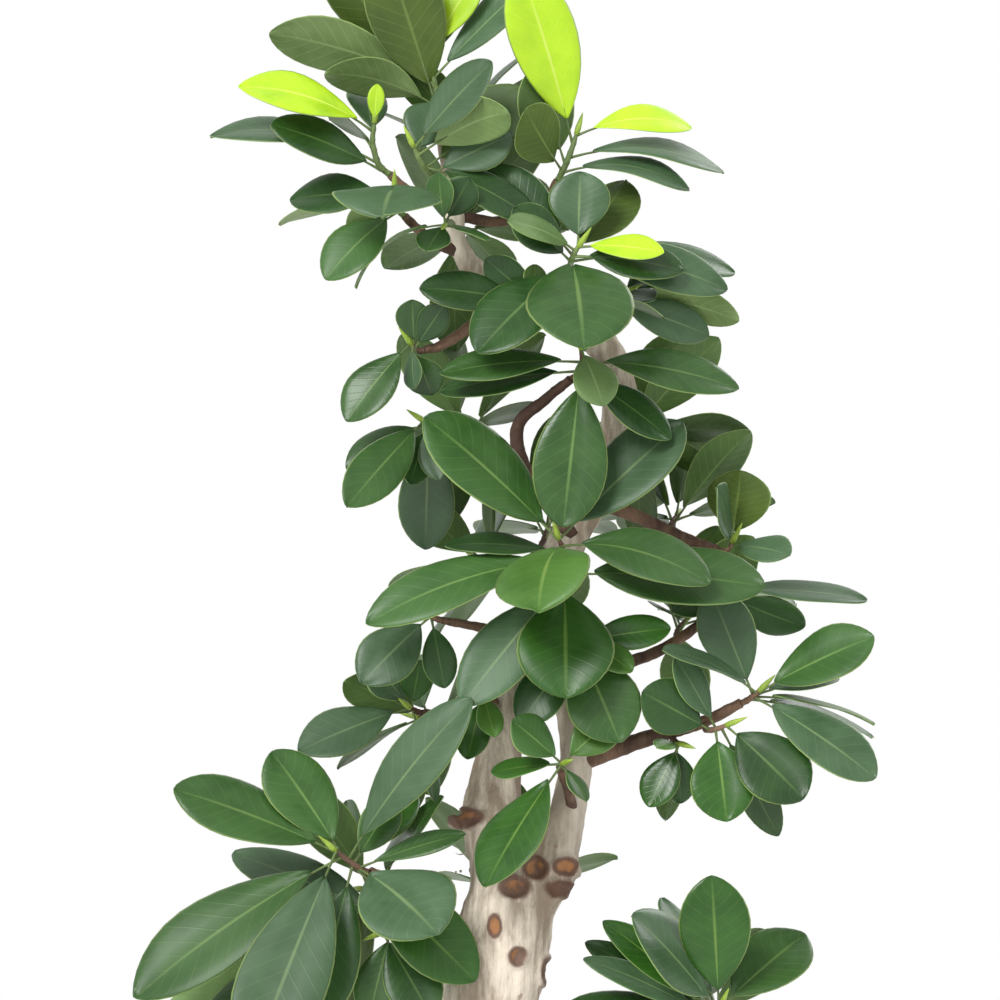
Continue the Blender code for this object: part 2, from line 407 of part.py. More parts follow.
# ---------------------------------------------------------------- wood
def gnarl(made, depth, spacing):
    """Pushes a mesh's points in and out along their normals by smooth noise that fades upwards."""
    moves = []
    for point in made.data.vertices:
        fade = max(0, 1 - point.co.z / (GNARLED_UP_TO * CM))
        moves.append(point.normal * depth * fade * noise.noise(point.co / spacing))
    for point, move in zip(made.data.vertices, moves):
        point.co += move


def mould(made, gap):
    """A copy of a mesh object with every point moved out by the gap."""
    grown = mesh_object(made.name + "_mould", made.data.copy())
    moves = [point.normal * gap * CM for point in grown.data.vertices]
    for point, move in zip(grown.data.vertices, moves):
        point.co += move
    return grown


def root_path(direction, reach, thickness):
    angle = math.radians(direction)
    start = Vector(ROOT_CROWN)
    out = Vector((math.cos(angle), math.sin(angle), 0))
    stops = ((0.0, 0.0, 1.0), (0.38, -0.9, 1.0), (0.72, -1.9, 0.8), (1.0, -3.0, 0.5))
    return [(*(start + out * reach * share + Vector((0, 0, drop))), thickness * size) for share, drop, size in stops]


def build_trunk():
    """The trunk with its second limb and its surface roots, as one closed mesh."""
    trunk = tube("trunk", PATHS["trunk"], 3)
    gnarl(trunk, 0.45 * CM, 3 * CM)
    limb = tube("limb", PATHS["limb"], 2)
    roots = [tube("root", smooth_path(root_path(*root), 2), 1) for root in ROOTS]
    return combined(trunk, [limb, *roots], "UNION")


def socket_path(path):
    """The stretch of a branch that sits in the trunk, made a little longer at its foot."""
    foot = path[0].copy()
    foot.xyz -= (path[1].xyz - path[0].xyz).normalized() * GAP
    return [foot, *path[1:9]]


# ---------------------------------------------------------------- leaves
def blade_width(share):
    """Half the blade's width at a share of its length, for a blade 2 wide: widest past its middle."""
    return share**0.85 * (1 - share) ** 0.55 / 0.39


def facing(letters):
    return sum((Vector(FACES[letter]) for letter in letters), Vector())


class Leaf:
    """One leaf's frame: foot on the stem, tip, upper side, arch and half width."""

    def __init__(self, foot, tip, width, upper, arch, roll=0):
        self.foot = Vector(foot)
        self.along = Vector(tip) - self.foot
        axis = self.along.normalized()
        upper = upper - axis * upper.dot(axis)
        self.upper = (Matrix.Rotation(math.radians(roll), 3, axis) @ upper).normalized()
        self.side = axis.cross(self.upper)
        self.rise = self.along.length / 2 * math.tan(math.radians(arch) / 4)
        self.half = width / 2

    def at(self, along, across, up):
        """A point at shares of the leaf's length and half width, raised by up centimetres."""
        arch = 4 * self.rise * along * (1 - along)
        fold = LEAF_FOLD * self.half * abs(across)
        return self.foot + self.along * along + self.side * across * self.half + self.upper * (arch + fold + up)

    def section(self, along, wide, thick):
        """Four points round the leaf, counter-clockwise seen from its tip."""
        return [self.at(along, wide * side, thick * up) for side, up in SECTION]

    def sections(self, extra=0.0):
        """The four-point sections from the petiole's far end to near the tip, grown by extra all round."""
        stalk = PETIOLE_RADIUS + extra
        yield self.section(PETIOLE_SHARE, stalk / self.half, stalk)
        for share in STATIONS:
            along = PETIOLE_SHARE + (1 - PETIOLE_SHARE) * share
            wide = blade_width(share) + extra / self.half
            yield self.section(along, wide, LEAF_THICKNESS / 2 + extra)

    def room(self, extra):
        """(points, faces) of the closed space the leaf takes up, petiole and all."""
        stalk = PETIOLE_RADIUS + extra
        rings = [self.section(0, stalk / self.half, stalk), *self.sections(extra)]
        points = [point for ring in rings for point in ring] + [self.at(1, 0, 0)]
        faces = [(3, 2, 1, 0)]
        for start in range(0, len(points) - 5, 4):
            for i in range(4):
                j = (i + 1) % 4
                faces.append((start + i, start + j, start + 4 + j, start + 4 + i))
        last = len(points) - 5
        faces += [(last + i, last + (i + 1) % 4, last + 4) for i in range(4)]
        return points, faces


SECTION = ((1, 0), (0, -1), (-1, 0), (0, 1))


class Placed:
    """What stands where, so that no leaf is put through another piece."""

    def __init__(self):
        self.pieces = []

    def add(self, owner, points, faces):
        low = Vector(map(min, zip(*points)))
        high = Vector(map(max, zip(*points)))
        self.pieces.append((owner, low, high, BVHTree.FromPolygons(points, faces)))

    def add_object(self, owner, made):
        points = [point.co / CM for point in made.data.vertices]
        self.add(owner, points, [tuple(face.vertices) for face in made.data.polygons])

    def is_free(self, owner, points, faces):
        low = Vector(map(min, zip(*points)))
        high = Vector(map(max, zip(*points)))
        body = BVHTree.FromPolygons(points, faces)
        for other, other_low, other_high, other_body in self.pieces:
            apart = any(low[i] > other_high[i] or high[i] < other_low[i] for i in range(3))
            if other != owner and not apart and body.overlap(other_body):
                return False
        return True


def variants(foot, tip, width, upper, arch):
    """Ways to hold a leaf, in order of how little they change its outline from the front."""
    for across, up in SIDE_TRIES:
        for depth in DEPTH_TRIES:
            for roll in ROLL_TRIES:
                yield Leaf(foot, Vector(tip) + Vector((across, depth, up)), width, upper, arch, roll)


def blade_of(points, faces):
    """The space of a leaf without its petiole."""
    return points, [face for face in faces if min(face) >= 4]


def settle(placed, siblings, own_stem, shoot, hold):
    """The first way to hold a leaf that touches nothing."""
    for leaf in variants(*hold):
        if not placed.is_free(shoot, *leaf.room(CLEARANCE)):
            continue
        small = leaf.room(OWN_CLEARANCE)
        if own_stem.is_free(None, *blade_of(*small)) and siblings.is_free(None, *small):
            placed.add(shoot, *leaf.room(CLEARANCE))
            siblings.add(shoot, *small)
            return leaf
    return None


# ---------------------------------------------------------------- shoots
def shoot_path(name, bearer, share, end):
    """A stem from just off the wood that bears it, curving out and then up to its end point."""
    wood, heading = point_along(PATHS[bearer], share)
    end = Vector(end)
    if share >= 0.995:
        start = wood.xyz + heading * GAP
    else:
        out = end - wood.xyz
        heading = (out - heading * out.dot(heading)).normalized()
        start = outer_face(bearer, wood.xyz, heading, wood.w) + heading * 2 * GAP
    knee = start + heading * (end - start).length * 0.45
    ends = [(*start, STEM_RADIUS), (*start.lerp(knee, 0.6), STEM_RADIUS), (*knee.lerp(end, 0.4), 0.11),
            (*knee.lerp(end, 0.8), 0.09), (*end, BUD_RADIUS)]
    curve = smooth_path(ends, 6)
    rings = max(6, round((end - start).length / RING_SPACING))
    path = [point_along(curve, index / rings)[0] for index in range(rings)]
    return [*path, Vector((*end, BUD_RADIUS))]


def outer_face(bearer, middle, heading, radius):
    """Where a line from the wood's middle leaves its skin."""
    skin = BVHTree.FromObject(WOOD[bearer], bpy.context.evaluated_depsgraph_get())
    hit = skin.ray_cast((middle + heading * 3 * radius) * CM, -heading)[0]
    return hit / CM


def spiral_leaves(path, count, length):
    """Leaves that fill a hidden shoot: a spiral that opens outwards and up."""
    leaves = []
    for index in range(count):
        share = 0.3 + 0.7 * index / (count - 1)
        foot, heading = point_along(path, share)
        turn = Matrix.Rotation(GOLDEN_ANGLE * index, 3, heading)
        out = turn @ heading.orthogonal().normalized()
        spread = math.radians(78 - 34 * index / count)
        along = heading * math.cos(spread) + out * math.sin(spread)
        along = (along + Vector((0, 0, 0.12))).normalized()
        size = length * (1 - 0.25 * index / count)
        upper = Vector((0, 0, 1.0)) + heading * 0.8
        leaves.append((share, *(foot.xyz + along * size), 0.44 * size, upper, 22, "g"))
    return leaves


def faces_by_fit(free_faces, path, share, tip):
    """The free faces of a stem that could bear a leaf, best first."""
    middle, heading = point_along(path, share)
    out = tip - middle.xyz
    out = (out - heading * out.dot(heading)).normalized()

    def misfit(face):
        off = (face.calc_center_median() / CM - middle.xyz).dot(heading)
        return 1.6 * abs(off) - face.normal.dot(out)

    return sorted(free_faces, key=misfit)[:FACE_TRIES]


def place_leaf(name, faces, siblings, own_stem, tip, hold):
    """The leaf and the stem's face that it grows from, or None where there is no room."""
    for face in faces:
        foot = face.calc_center_median() / CM
        leaf = settle(placed, siblings, own_stem, name, (foot, tip, *hold))
        if leaf:
            return face, leaf
    print("no room for a leaf of", name, "at", tuple(round(value, 1) for value in tip))
    return None


def grow_leaf(stem, face, leaf):
    """Draws a leaf out of a face of the stem, section by section, to a point at its tip."""
    corners = [vert.co / CM for vert in face.verts]
    first = next(leaf.sections())
    turn = min(range(4), key=lambda t: sum((corners[i] - first[(i + t) % 4]).length for i in range(4)))
    for section in leaf.sections():
        face = bmesh.ops.extrude_discrete_faces(stem, faces=[face])["faces"][0]
        for index, vert in enumerate(face.verts):
            vert.co = section[(index + turn) % 4] * CM
    tip = bmesh.ops.poke(stem, faces=[face])["verts"][0]
    tip.co = leaf.at(1, 0, 0) * CM


def leaf_shoot(name, path, leaves):
    """A stem and its leaves as one closed body."""
    shoot = tube(name, path, 1)
    stem = bmesh.new()
    stem.from_mesh(shoot.data)
    stem_length = sum((b.xyz - a.xyz).length for a, b in zip(path, path[1:]))
    lowest = FIRST_LEAF / stem_length
    free_faces = [face for face in stem.faces if len(face.verts) == 4]
    own_stem = Placed()
    own_stem.add_object(name, shoot)
    siblings = Placed()
    grown = []
    for share, x, y, z, width, upper, arch, _ in leaves:
        share = lowest + (HIGHEST_LEAF - lowest) * share
        faces = faces_by_fit(free_faces, path, share, Vector((x, y, z)))
        found = place_leaf(name, faces, siblings, own_stem, (x, y, z), (width, upper, arch))
        if found:
            grown.append(found)
            free_faces.remove(found[0])
    for face, leaf in grown:
        grow_leaf(stem, face, leaf)
    stem.to_mesh(shoot.data)
    stem.free()
    tone = Counter(leaf[-1] for leaf in leaves).most_common(1)[0][0]
    return finish(shoot, COLOURS[tone], 0.45)


# ---------------------------------------------------------------- the tree
for old in list(bpy.data.objects):
    bpy.data.objects.remove(old)
tree = bpy.data.collections.new("ficus_bonsai")
workshop = bpy.data.collections.new("workshop")
workshop.hide_render = True
bpy.context.scene.collection.children.link(tree)
bpy.context.scene.collection.children.link(workshop)

PATHS = {"trunk": smooth_path(TRUNK, 3), "limb": smooth_path(LIMB, 3)}
PATHS.update({name: smooth_path(points, 3) for name, points in BRANCHES.items()})

trunk = build_trunk()
finish(build_soil(mould(trunk, 1.5 * GAP)), SOIL, 0.95)
finish(build_pot(), STONEWARE, 0.5)
sockets = [tube("socket", socket_path(PATHS[name]), 1, GAP) for name in BRANCHES]
trunk = finish(combined(trunk, sockets, "DIFFERENCE"), BARK, 0.85)

WOOD = {"trunk": trunk, "limb": trunk}
placed = Placed()
placed.add_object("trunk", trunk)
for name in BRANCHES:
    WOOD[name] = finish(tube(name, PATHS[name], 1), TWIG_BARK, 0.8)
    placed.add_object(name, WOOD[name])

shoots = {}
for name, (bearer, share, end, leaves) in SHOOTS.items():
    named = [(*leaf[:5], facing(leaf[5]), *leaf[6:]) for leaf in leaves]
    shoots[name] = (shoot_path(name, bearer, share, end), named)
for name, (bearer, share, end, count, length) in FILLED.items():
    path = shoot_path(name, bearer, share, end)
    shoots[name] = (path, spiral_leaves(path, count, length))
for name, (path, _) in shoots.items():
    stem = tube(name + "_room", path, 1, CLEARANCE)
    placed.add_object(name, stem)
    bpy.data.objects.remove(stem)
for name, (path, leaves) in shoots.items():
    leaf_shoot(name, path, leaves)
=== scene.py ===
"""The looks of the potted ficus bonsai: fine leaves, bark, soil crumbs and a stoneware bowl.

The tree's plan and the rule that finds each leaf its room are those of part.py, so that every fine
leaf lies where its plain CAD leaf does. Lengths in the plan are centimetres.
"""

import math
import random

import bmesh
import bpy
from mathutils import Matrix, Vector, noise
from mathutils.bvhtree import BVHTree


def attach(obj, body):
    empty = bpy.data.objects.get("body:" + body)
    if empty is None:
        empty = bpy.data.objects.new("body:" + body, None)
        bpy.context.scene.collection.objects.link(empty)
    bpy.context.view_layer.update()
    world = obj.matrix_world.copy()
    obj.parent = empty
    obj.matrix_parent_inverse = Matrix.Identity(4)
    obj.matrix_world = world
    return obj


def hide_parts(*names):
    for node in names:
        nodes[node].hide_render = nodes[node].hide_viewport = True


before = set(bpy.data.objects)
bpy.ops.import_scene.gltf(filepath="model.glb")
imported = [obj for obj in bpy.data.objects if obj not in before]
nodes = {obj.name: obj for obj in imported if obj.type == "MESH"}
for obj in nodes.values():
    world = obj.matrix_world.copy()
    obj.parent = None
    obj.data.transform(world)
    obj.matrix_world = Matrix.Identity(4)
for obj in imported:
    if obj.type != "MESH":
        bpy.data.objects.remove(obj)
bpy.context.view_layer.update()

CM = 0.01  # the plan below is in centimetres; the scene is in metres
GAP = 0.03  # cm, between pieces that touch in the real plant
GOLDEN_ANGLE = math.radians(137.5)

# ---------------------------------------------------------------- pot and soil
RIM_RADIUS = 10.2
RIM_TOP = 12.6
RIM_HEIGHT = 1.1
FOOT_RADIUS = 6.9
WALL = 0.75
FLOOR = 1.1
BOWL_BULGE = 0.9
SOIL_TOP = 11.1
SOIL_MOUND = 0.45
# ---------------------------------------------------------------- the tree, in centimetres
# X runs to the viewer's right, Y away from the viewer, Z up. The pot stands on Z = 0.
# Wood is a list of (x, y, z, radius); smooth_path() runs a curve through it.
TRUNK = [
    (0.9, 0.0, 9.6, 2.5), (0.7, 0.0, 11.6, 3.0), (0.0, 0.0, 13.6, 2.7), (-1.4, 0.1, 16.0, 2.4),
    (-2.2, 0.2, 18.4, 2.3), (-1.8, 0.2, 21.0, 2.15), (-0.6, 0.1, 23.6, 2.0), (0.1, 0.0, 26.0, 1.95),
    (0.5, 0.0, 28.0, 1.8), (0.2, 0.1, 29.6, 1.45), (-0.3, 0.3, 31.2, 1.2), (-0.05, 0.6, 33.4, 0.98),
    (0.3, 0.9, 35.8, 0.85), (1.4, 1.2, 39.4, 0.8), (2.8, 1.4, 42.5, 0.78), (4.3, 1.4, 45.2, 0.75),
    (4.9, 1.2, 47.8, 0.72), (4.2, 0.9, 50.1, 0.62), (2.0, 0.6, 51.6, 0.55), (-0.4, 0.4, 52.7, 0.5),
    (-1.7, 0.4, 54.2, 0.44), (-1.9, 0.6, 56.2, 0.36), (-2.3, 0.8, 58.8, 0.24),
]
LIMB = [
    (0.9, -0.1, 27.0, 1.0), (2.1, -0.2, 29.1, 0.88), (2.6, -0.2, 31.2, 0.74), (3.0, -0.1, 33.3, 0.66),
    (2.8, 0.1, 35.0, 0.52), (2.3, 0.0, 36.8, 0.42), (2.2, -0.3, 38.6, 0.34), (2.5, -0.8, 40.3, 0.26),
]
BRANCHES = {
    "branch_low_left": [
        (-0.6, -0.1, 26.0, 0.5), (-2.4, -0.4, 27.5, 0.42), (-4.1, -1.0, 28.6, 0.34),
        (-5.2, -1.6, 29.2, 0.26)],
    "branch_low_right": [
        (0.6, 0.1, 22.6, 0.5), (3.0, 0.4, 22.7, 0.4), (5.6, 0.0, 22.9, 0.33), (8.0, -0.6, 23.2, 0.24)],
    "branch_back_low": [
        (-0.6, 1.2, 24.6, 0.42), (-0.8, 3.6, 25.8, 0.34), (-0.2, 5.4, 27.0, 0.24)],
    "branch_left": [
        (-0.2, 0.8, 34.2, 0.34), (-1.5, 1.4, 35.0, 0.28), (-3.1, 1.9, 35.4, 0.2)],
    "branch_right": [
        (3.3, -0.1, 33.6, 0.4), (4.5, -0.1, 34.0, 0.36), (6.3, -0.2, 34.6, 0.3), (8.0, -0.6, 35.1, 0.25),
        (9.6, -1.0, 35.9, 0.2)],
    "branch_right_upper": [
        (2.6, 0.2, 36.4, 0.3), (4.3, 0.8, 37.2, 0.27), (6.3, 1.0, 37.9, 0.23), (8.0, 1.1, 39.0, 0.2),
        (8.8, 1.1, 40.0, 0.17)],
    "branch_front": [
        (2.9, -0.5, 31.6, 0.22), (2.7, -1.5, 32.5, 0.2), (2.4, -2.2, 33.3, 0.16)],
    "branch_left_twig": [
        (0.9, 0.9, 38.6, 0.22), (-0.8, 0.2, 38.9, 0.19), (-2.3, -0.3, 39.2, 0.15)],
    "branch_back_mid": [
        (1.6, 1.6, 39.9, 0.34), (1.0, 3.6, 40.8, 0.28), (1.6, 5.4, 42.0, 0.2)],
    "branch_mid_right": [
        (3.8, 1.6, 44.0, 0.32), (5.6, 1.9, 43.3, 0.27), (7.4, 1.8, 42.5, 0.22), (8.8, 1.6, 42.0, 0.18)],
    "branch_mid_left": [
        (3.2, 1.6, 43.4, 0.3), (0.8, 1.9, 45.4, 0.26), (-1.3, 1.1, 46.7, 0.21), (-2.6, 0.5, 47.0, 0.17)],
    "branch_mid_top": [
        (2.9, 0.9, 42.6, 0.34), (1.1, 0.0, 45.0, 0.3), (0.7, -0.3, 46.9, 0.26), (1.8, -0.8, 48.0, 0.22),
        (2.8, -1.2, 48.8, 0.18)],
    "branch_upper_left": [
        (0.4, 0.3, 52.2, 0.28), (-1.1, 0.0, 51.0, 0.24), (-2.3, -0.1, 50.2, 0.2), (-3.0, -0.2, 50.0, 0.16)],
    "branch_crown_left": [
        (-1.8, 0.3, 54.0, 0.26), (-2.8, -0.3, 54.4, 0.22), (-3.8, -0.8, 55.3, 0.17)],
    "branch_crown_high_left": [
        (-2.0, 0.5, 56.0, 0.22), (-3.5, 0.2, 56.3, 0.2), (-4.4, -0.2, 57.0, 0.16)],
    "branch_crown_high_right": [
        (-1.8, 0.6, 55.4, 0.24), (0.1, 1.0, 55.2, 0.21), (1.7, 0.9, 55.9, 0.19), (2.3, 0.7, 56.8, 0.16)],
    "branch_crown_right": [
        (2.8, 0.5, 51.2, 0.26), (2.8, -0.4, 52.2, 0.21), (2.8, -0.7, 53.0, 0.17)],
}
# A shoot grows from its branch at a share of the branch's length, up to its own end point.
# Its leaves are (share of the shoot, tip x, y, z, width, the way the upper side faces, arch in
# degrees, tone). Faces: F viewer, B back, L left, R right, U up, D down, letters adding up.
# Tone s is a painted sheen: a paler, blue-grey green in place of the light these leaves reflect.
SHOOTS = {
    "shoot_crown_tip": ("trunk", 1.0, (-2.9, 0.9, 62.0), [
        (0.30, -4.6, -0.4, 66.0, 3.2, "BBU", 12, "o"), (0.55, -7.2, 0.6, 65.8, 2.8, "BU", 15, "o"),
        (0.60, -9.25, 0.2, 62.7, 2.4, "UUB", 48, "l"), (0.25, -7.0, -0.6, 61.0, 2.2, "UUB", 55, "l"),
        (0.85, -2.2, 1.7, 66.6, 2.6, "FU", 10, "o"), (0.98, -0.7, 1.2, 65.4, 1.7, "FU", 15, "y"),
        (0.70, 1.7, 0.4, 65.2, 2.0, "FU", 12, "s")]),
    "shoot_crown_front": ("trunk", 0.965, (-3.5, -0.9, 58.2), [
        (0.95, -0.3, -1.8, 61.4, 2.3, "FU", 15, "s"), (1.00, 0.35, -3.0, 59.3, 2.1, "UUB", 80, "l"),
        (0.80, -2.7, -1.2, 59.9, 2.0, "F", 10, "s"), (0.40, 1.05, 0.2, 60.5, 2.7, "BBR", 15, "d"),
        (0.20, 0.5, 0.2, 58.6, 2.1, "FU", 15, "s"), (0.35, 1.5, -0.9, 55.0, 2.0, "UF", 35, "d")]),
    "shoot_crown_high_left": ("branch_crown_high_left", 1.0, (-5.0, -0.5, 59.2), [
        (0.90, -10.4, -1.8, 60.4, 2.3, "FU", 50, "y"), (0.25, -11.6, -0.4, 58.5, 2.5, "UUF", 50, "s"),
        (0.10, -9.1, -2.0, 58.9, 2.3, "FFU", 20, "d"), (0.55, -6.9, 2.4, 59.4, 2.0, "UB", 30, "d"),
        (0.70, -5.6, 2.6, 60.8, 1.7, "UB", 25, "s"), (0.98, -4.9, -0.6, 60.6, 0.7, "F", 5, "y")]),
    "shoot_crown_left": ("branch_crown_left", 1.0, (-4.2, -1.3, 56.4), [
        (0.95, -4.6, -4.6, 55.0, 4.4, "UUF", 50, "s"), (0.60, -8.4, -0.2, 56.0, 2.4, "FU", 20, "d"),
        (0.35, -8.9, 1.6, 55.1, 2.1, "U", 22, "l"), (0.30, -6.1, -1.0, 54.8, 1.5, "UB", 30, "l"),
        (0.05, -6.9, -2.4, 52.7, 2.3, "FU", 35, "g")]),
    "shoot_crown_inner": ("trunk", 0.93, (-2.2, -1.6, 54.9), [
        (0.90, -2.4, -2.0, 57.0, 1.6, "LF", 15, "g"), (0.95, -1.2, -1.9, 56.8, 1.5, "F", 15, "d"),
        (1.00, -2.9, -3.0, 53.8, 1.4, "FU", 20, "g"), (1.00, -0.5, -3.0, 54.2, 1.4, "FU", 20, "g"),
        (0.70, -5.75, -1.4, 52.4, 1.9, "U", 72, "g")]),
    "shoot_crown_high_right": ("branch_crown_high_right", 1.0, (3.1, 0.7, 58.8), [
        (0.30, 1.6, 0.0, 61.5, 3.3, "BBL", 14, "d"), (0.85, 0.8, 1.8, 65.2, 3.0, "FU", 18, "y"),
        (0.45, 9.05, 1.8, 57.2, 2.3, "UUF", 50, "s"), (0.12, 7.6, 0.2, 56.4, 2.1, "UUF", 58, "s"),
        (0.95, 7.75, 1.8, 59.0, 1.7, "UF", 62, "y"), (0.02, 1.0, -0.6, 59.5, 2.4, "BBL", 12, "o")]),
    "shoot_crown_right": ("branch_crown_right", 1.0, (3.2, -1.1, 54.2), [
        (1.00, 3.2, -0.6, 57.1, 2.5, "FU", 14, "s"), (0.95, 6.5, -2.2, 53.8, 1.5, "FU", 22, "y"),
        (0.90, 0.3, -2.8, 55.0, 1.7, "UF", 32, "l"), (0.35, -0.4, -0.4, 57.4, 2.1, "F", 12, "d"),
        (0.20, 0.5, -1.2, 55.6, 1.8, "F", 12, "d"), (0.40, 7.3, -1.6, 53.1, 2.2, "UF", 20, "d"),
        (0.50, 9.1, -0.2, 52.4, 2.2, "UUF", 45, "s"), (0.60, 5.1, 1.4, 56.9, 2.6, "BBR", 12, "o"),
        (0.30, 9.5, 2.2, 53.2, 2.0, "UF", 35, "d"), (0.10, 3.3, -5.8, 49.8, 4.3, "UUF", 42, "g"),
        (0.05, -0.9, -3.2, 49.8, 3.0, "FU", 18, "d")]),
    "shoot_crown_under": ("trunk", 0.80, (5.0, 0.3, 52.3), [
        (0.90, 9.6, 0.6, 51.2, 2.0, "UB", 35, "l"), (0.95, 6.2, -0.9, 52.0, 1.2, "UF", 10, "s"),
        (0.60, 8.4, 1.4, 50.6, 1.7, "UF", 50, "s"), (1.00, 8.0, 2.4, 53.8, 2.0, "UF", 20, "s"),
        (0.40, 6.5, 0.4, 51.2, 1.0, "U", 20, "g")]),
    "shoot_mid_top": ("branch_mid_top", 1.0, (3.2, -1.8, 50.1), [
        (0.40, -2.4, -2.0, 49.0, 1.8, "FU", 22, "g"), (0.95, 4.1, -3.2, 47.7, 1.8, "FU", 25, "l"),
        (0.60, 9.5, -1.6, 48.4, 2.3, "FU", 30, "g"), (0.15, 2.5, -2.6, 42.9, 3.0, "F", 14, "g"),
        (0.10, 6.8, -1.6, 46.4, 1.9, "FU", 16, "d"), (0.02, -2.4, -0.6, 48.3, 1.8, "FU", 16, "d")]),
    "shoot_mid_cross": ("trunk", 0.835, (1.1, -1.0, 51.9), [
        (0.95, -3.2, -2.0, 52.4, 1.9, "UF", 22, "d"), (0.60, -0.6, -1.2, 53.6, 1.5, "F", 14, "d"),
        (0.80, 1.0, -2.4, 53.4, 1.2, "F", 10, "o")]),
    "shoot_upper_left": ("branch_upper_left", 1.0, (-3.6, -0.4, 50.3), [
        (0.90, -6.1, -1.4, 47.1, 2.1, "FU", 24, "g"), (0.95, -3.4, -1.0, 48.4, 1.1, "LF", 10, "s"),
        (0.60, -3.5, -0.9, 52.0, 1.4, "F", 10, "g"), (0.10, -2.2, -1.2, 51.8, 1.3, "F", 10, "d"),
        (0.05, -2.7, -1.0, 48.2, 1.6, "F", 10, "g")]),
    "shoot_mid_left": ("branch_mid_left", 1.0, (-3.1, 0.3, 47.2), [
        (0.95, -6.15, 0.4, 45.2, 2.0, "FU", 18, "g"), (1.00, -6.05, -1.2, 43.7, 2.1, "FU", 22, "g"),
        (0.70, -3.6, -0.6, 44.6, 1.4, "F", 12, "d"), (0.50, -2.4, -0.8, 44.8, 1.3, "F", 12, "s"),
        (0.30, -3.4, 1.2, 43.9, 1.3, "F", 12, "g"), (0.10, -3.0, 0.2, 42.0, 2.3, "F", 15, "s")]),
    "shoot_center": ("limb", 1.0, (2.3, -1.6, 42.6), [
        (1.00, -3.0, -2.4, 47.3, 3.5, "FU", 14, "g"), (0.97, 7.3, -1.8, 47.1, 3.1, "FU", 12, "s"),
        (0.85, 8.3, -3.6, 40.7, 2.7, "UF", 55, "g"), (0.20, 10.5, -2.2, 40.6, 3.4, "FU", 14, "g"),
        (0.90, 1.5, -5.8, 39.6, 4.0, "UUF", 48, "b"), (0.55, -5.3, -3.2, 39.1, 2.7, "FU", 40, "g"),
        (0.08, 2.6, -3.9, 36.2, 3.9, "FFU", 26, "v"), (0.70, -2.2, -1.4, 42.2, 1.8, "FU", 20, "d"),
        (0.04, -1.5, -2.8, 35.9, 2.6, "FFU", 15, "s")]),
    "shoot_center_low": ("limb", 0.80, (3.0, -1.4, 38.8), [
        (0.85, 4.75, -2.8, 34.4, 3.0, "FFU", 20, "g"), (1.00, 5.25, -2.4, 37.2, 1.5, "FU", 16, "b"),
        (0.95, 6.8, -1.8, 38.9, 1.6, "FU", 14, "v"), (0.45, 0.8, -2.0, 35.1, 2.0, "FFU", 14, "d")]),
    "shoot_left_twig": ("branch_left_twig", 1.0, (-2.9, -0.5, 39.5), [
        (0.90, -5.5, -1.8, 36.7, 2.4, "FFU", 20, "s"), (0.10, -2.2, -1.0, 36.5, 1.4, "F", 14, "d"),
        (1.00, -3.7, -0.4, 40.4, 1.0, "FU", 14, "b"), (0.50, -1.9, -1.6, 41.2, 1.3, "FU", 14, "g")]),
    "shoot_left": ("branch_left", 1.0, (-3.7, 1.6, 35.7), [
        (0.95, -5.4, 0.8, 37.7, 2.2, "FU", 12, "s"), (0.90, -8.1, 0.4, 33.9, 2.5, "FU", 15, "s"),
        (0.60, -3.2, 0.6, 37.6, 1.4, "F", 12, "v"), (0.20, -2.6, 0.4, 31.9, 1.1, "FR", 10, "s")]),
    "shoot_low_left": ("branch_low_left", 1.0, (-6.6, -2.2, 30.2), [
        (1.00, -12.9, -3.0, 32.6, 3.1, "FU", 14, "g"), (0.70, -9.1, -1.2, 34.0, 2.9, "FFU", 12, "g"),
        (0.55, -1.1, -3.0, 36.2, 2.6, "FU", 24, "s"), (0.85, -14.4, -3.8, 24.4, 3.6, "FU", 24, "g"),
        (0.95, -9.7, -5.0, 21.9, 3.6, "FFU", 20, "s"), (0.08, -2.4, -5.0, 27.0, 4.1, "FU", 30, "s"),
        (0.04, -0.95, -3.4, 25.0, 2.9, "FFU", 15, "v"), (0.30, -7.4, -3.4, 23.2, 2.6, "FFU", 14, "d"),
        (0.45, -4.2, -0.8, 32.1, 1.6, "F", 12, "g"), (0.30, -3.4, 0.2, 32.1, 1.5, "F", 12, "v"),
        (0.15, -1.35, -2.4, 30.8, 1.2, "UF", 14, "g")]),
    "shoot_low_left_under": ("branch_low_left", 0.62, (-4.8, -1.8, 26.8), [
        (0.95, -2.7, -3.0, 23.6, 2.3, "FFU", 14, "d"), (1.00, -5.2, -3.4, 23.4, 1.8, "FFU", 16, "g"),
        (0.90, -11.9, -1.8, 23.0, 2.6, "FU", 20, "d"), (0.80, -14.2, -0.8, 22.6, 2.4, "FU", 25, "l"),
        (0.50, -10.8, 1.6, 29.8, 2.3, "FU", 14, "s")]),
    "shoot_trunk_front": ("trunk", 0.50, (-0.8, -0.9, 36.4), [
        (0.80, -1.3, -1.9, 33.7, 1.4, "FU", 12, "v"), (1.00, -0.2, -2.1, 34.6, 1.1, "FU", 12, "b")]),
    "shoot_front": ("branch_front", 1.0, (2.5, -2.7, 33.6), [
        (0.80, 0.45, -2.9, 35.3, 2.0, "FU", 10, "g"), (0.30, -0.35, -2.2, 33.2, 1.6, "FU", 12, "v"),
        (0.90, -0.6, -4.4, 28.8, 3.1, "FFU", 12, "v"), (1.00, 4.7, -2.4, 35.5, 1.8, "FU", 12, "b"),
        (0.70, 3.4, -3.2, 32.1, 1.2, "FU", 12, "g")]),
    "shoot_right_tip": ("branch_right", 1.0, (10.4, -1.2, 36.5), [
        (1.00, 14.85, -1.8, 38.6, 2.8, "FU", 14, "g"), (0.50, 14.85, -2.8, 33.0, 2.6, "FU", 18, "s"),
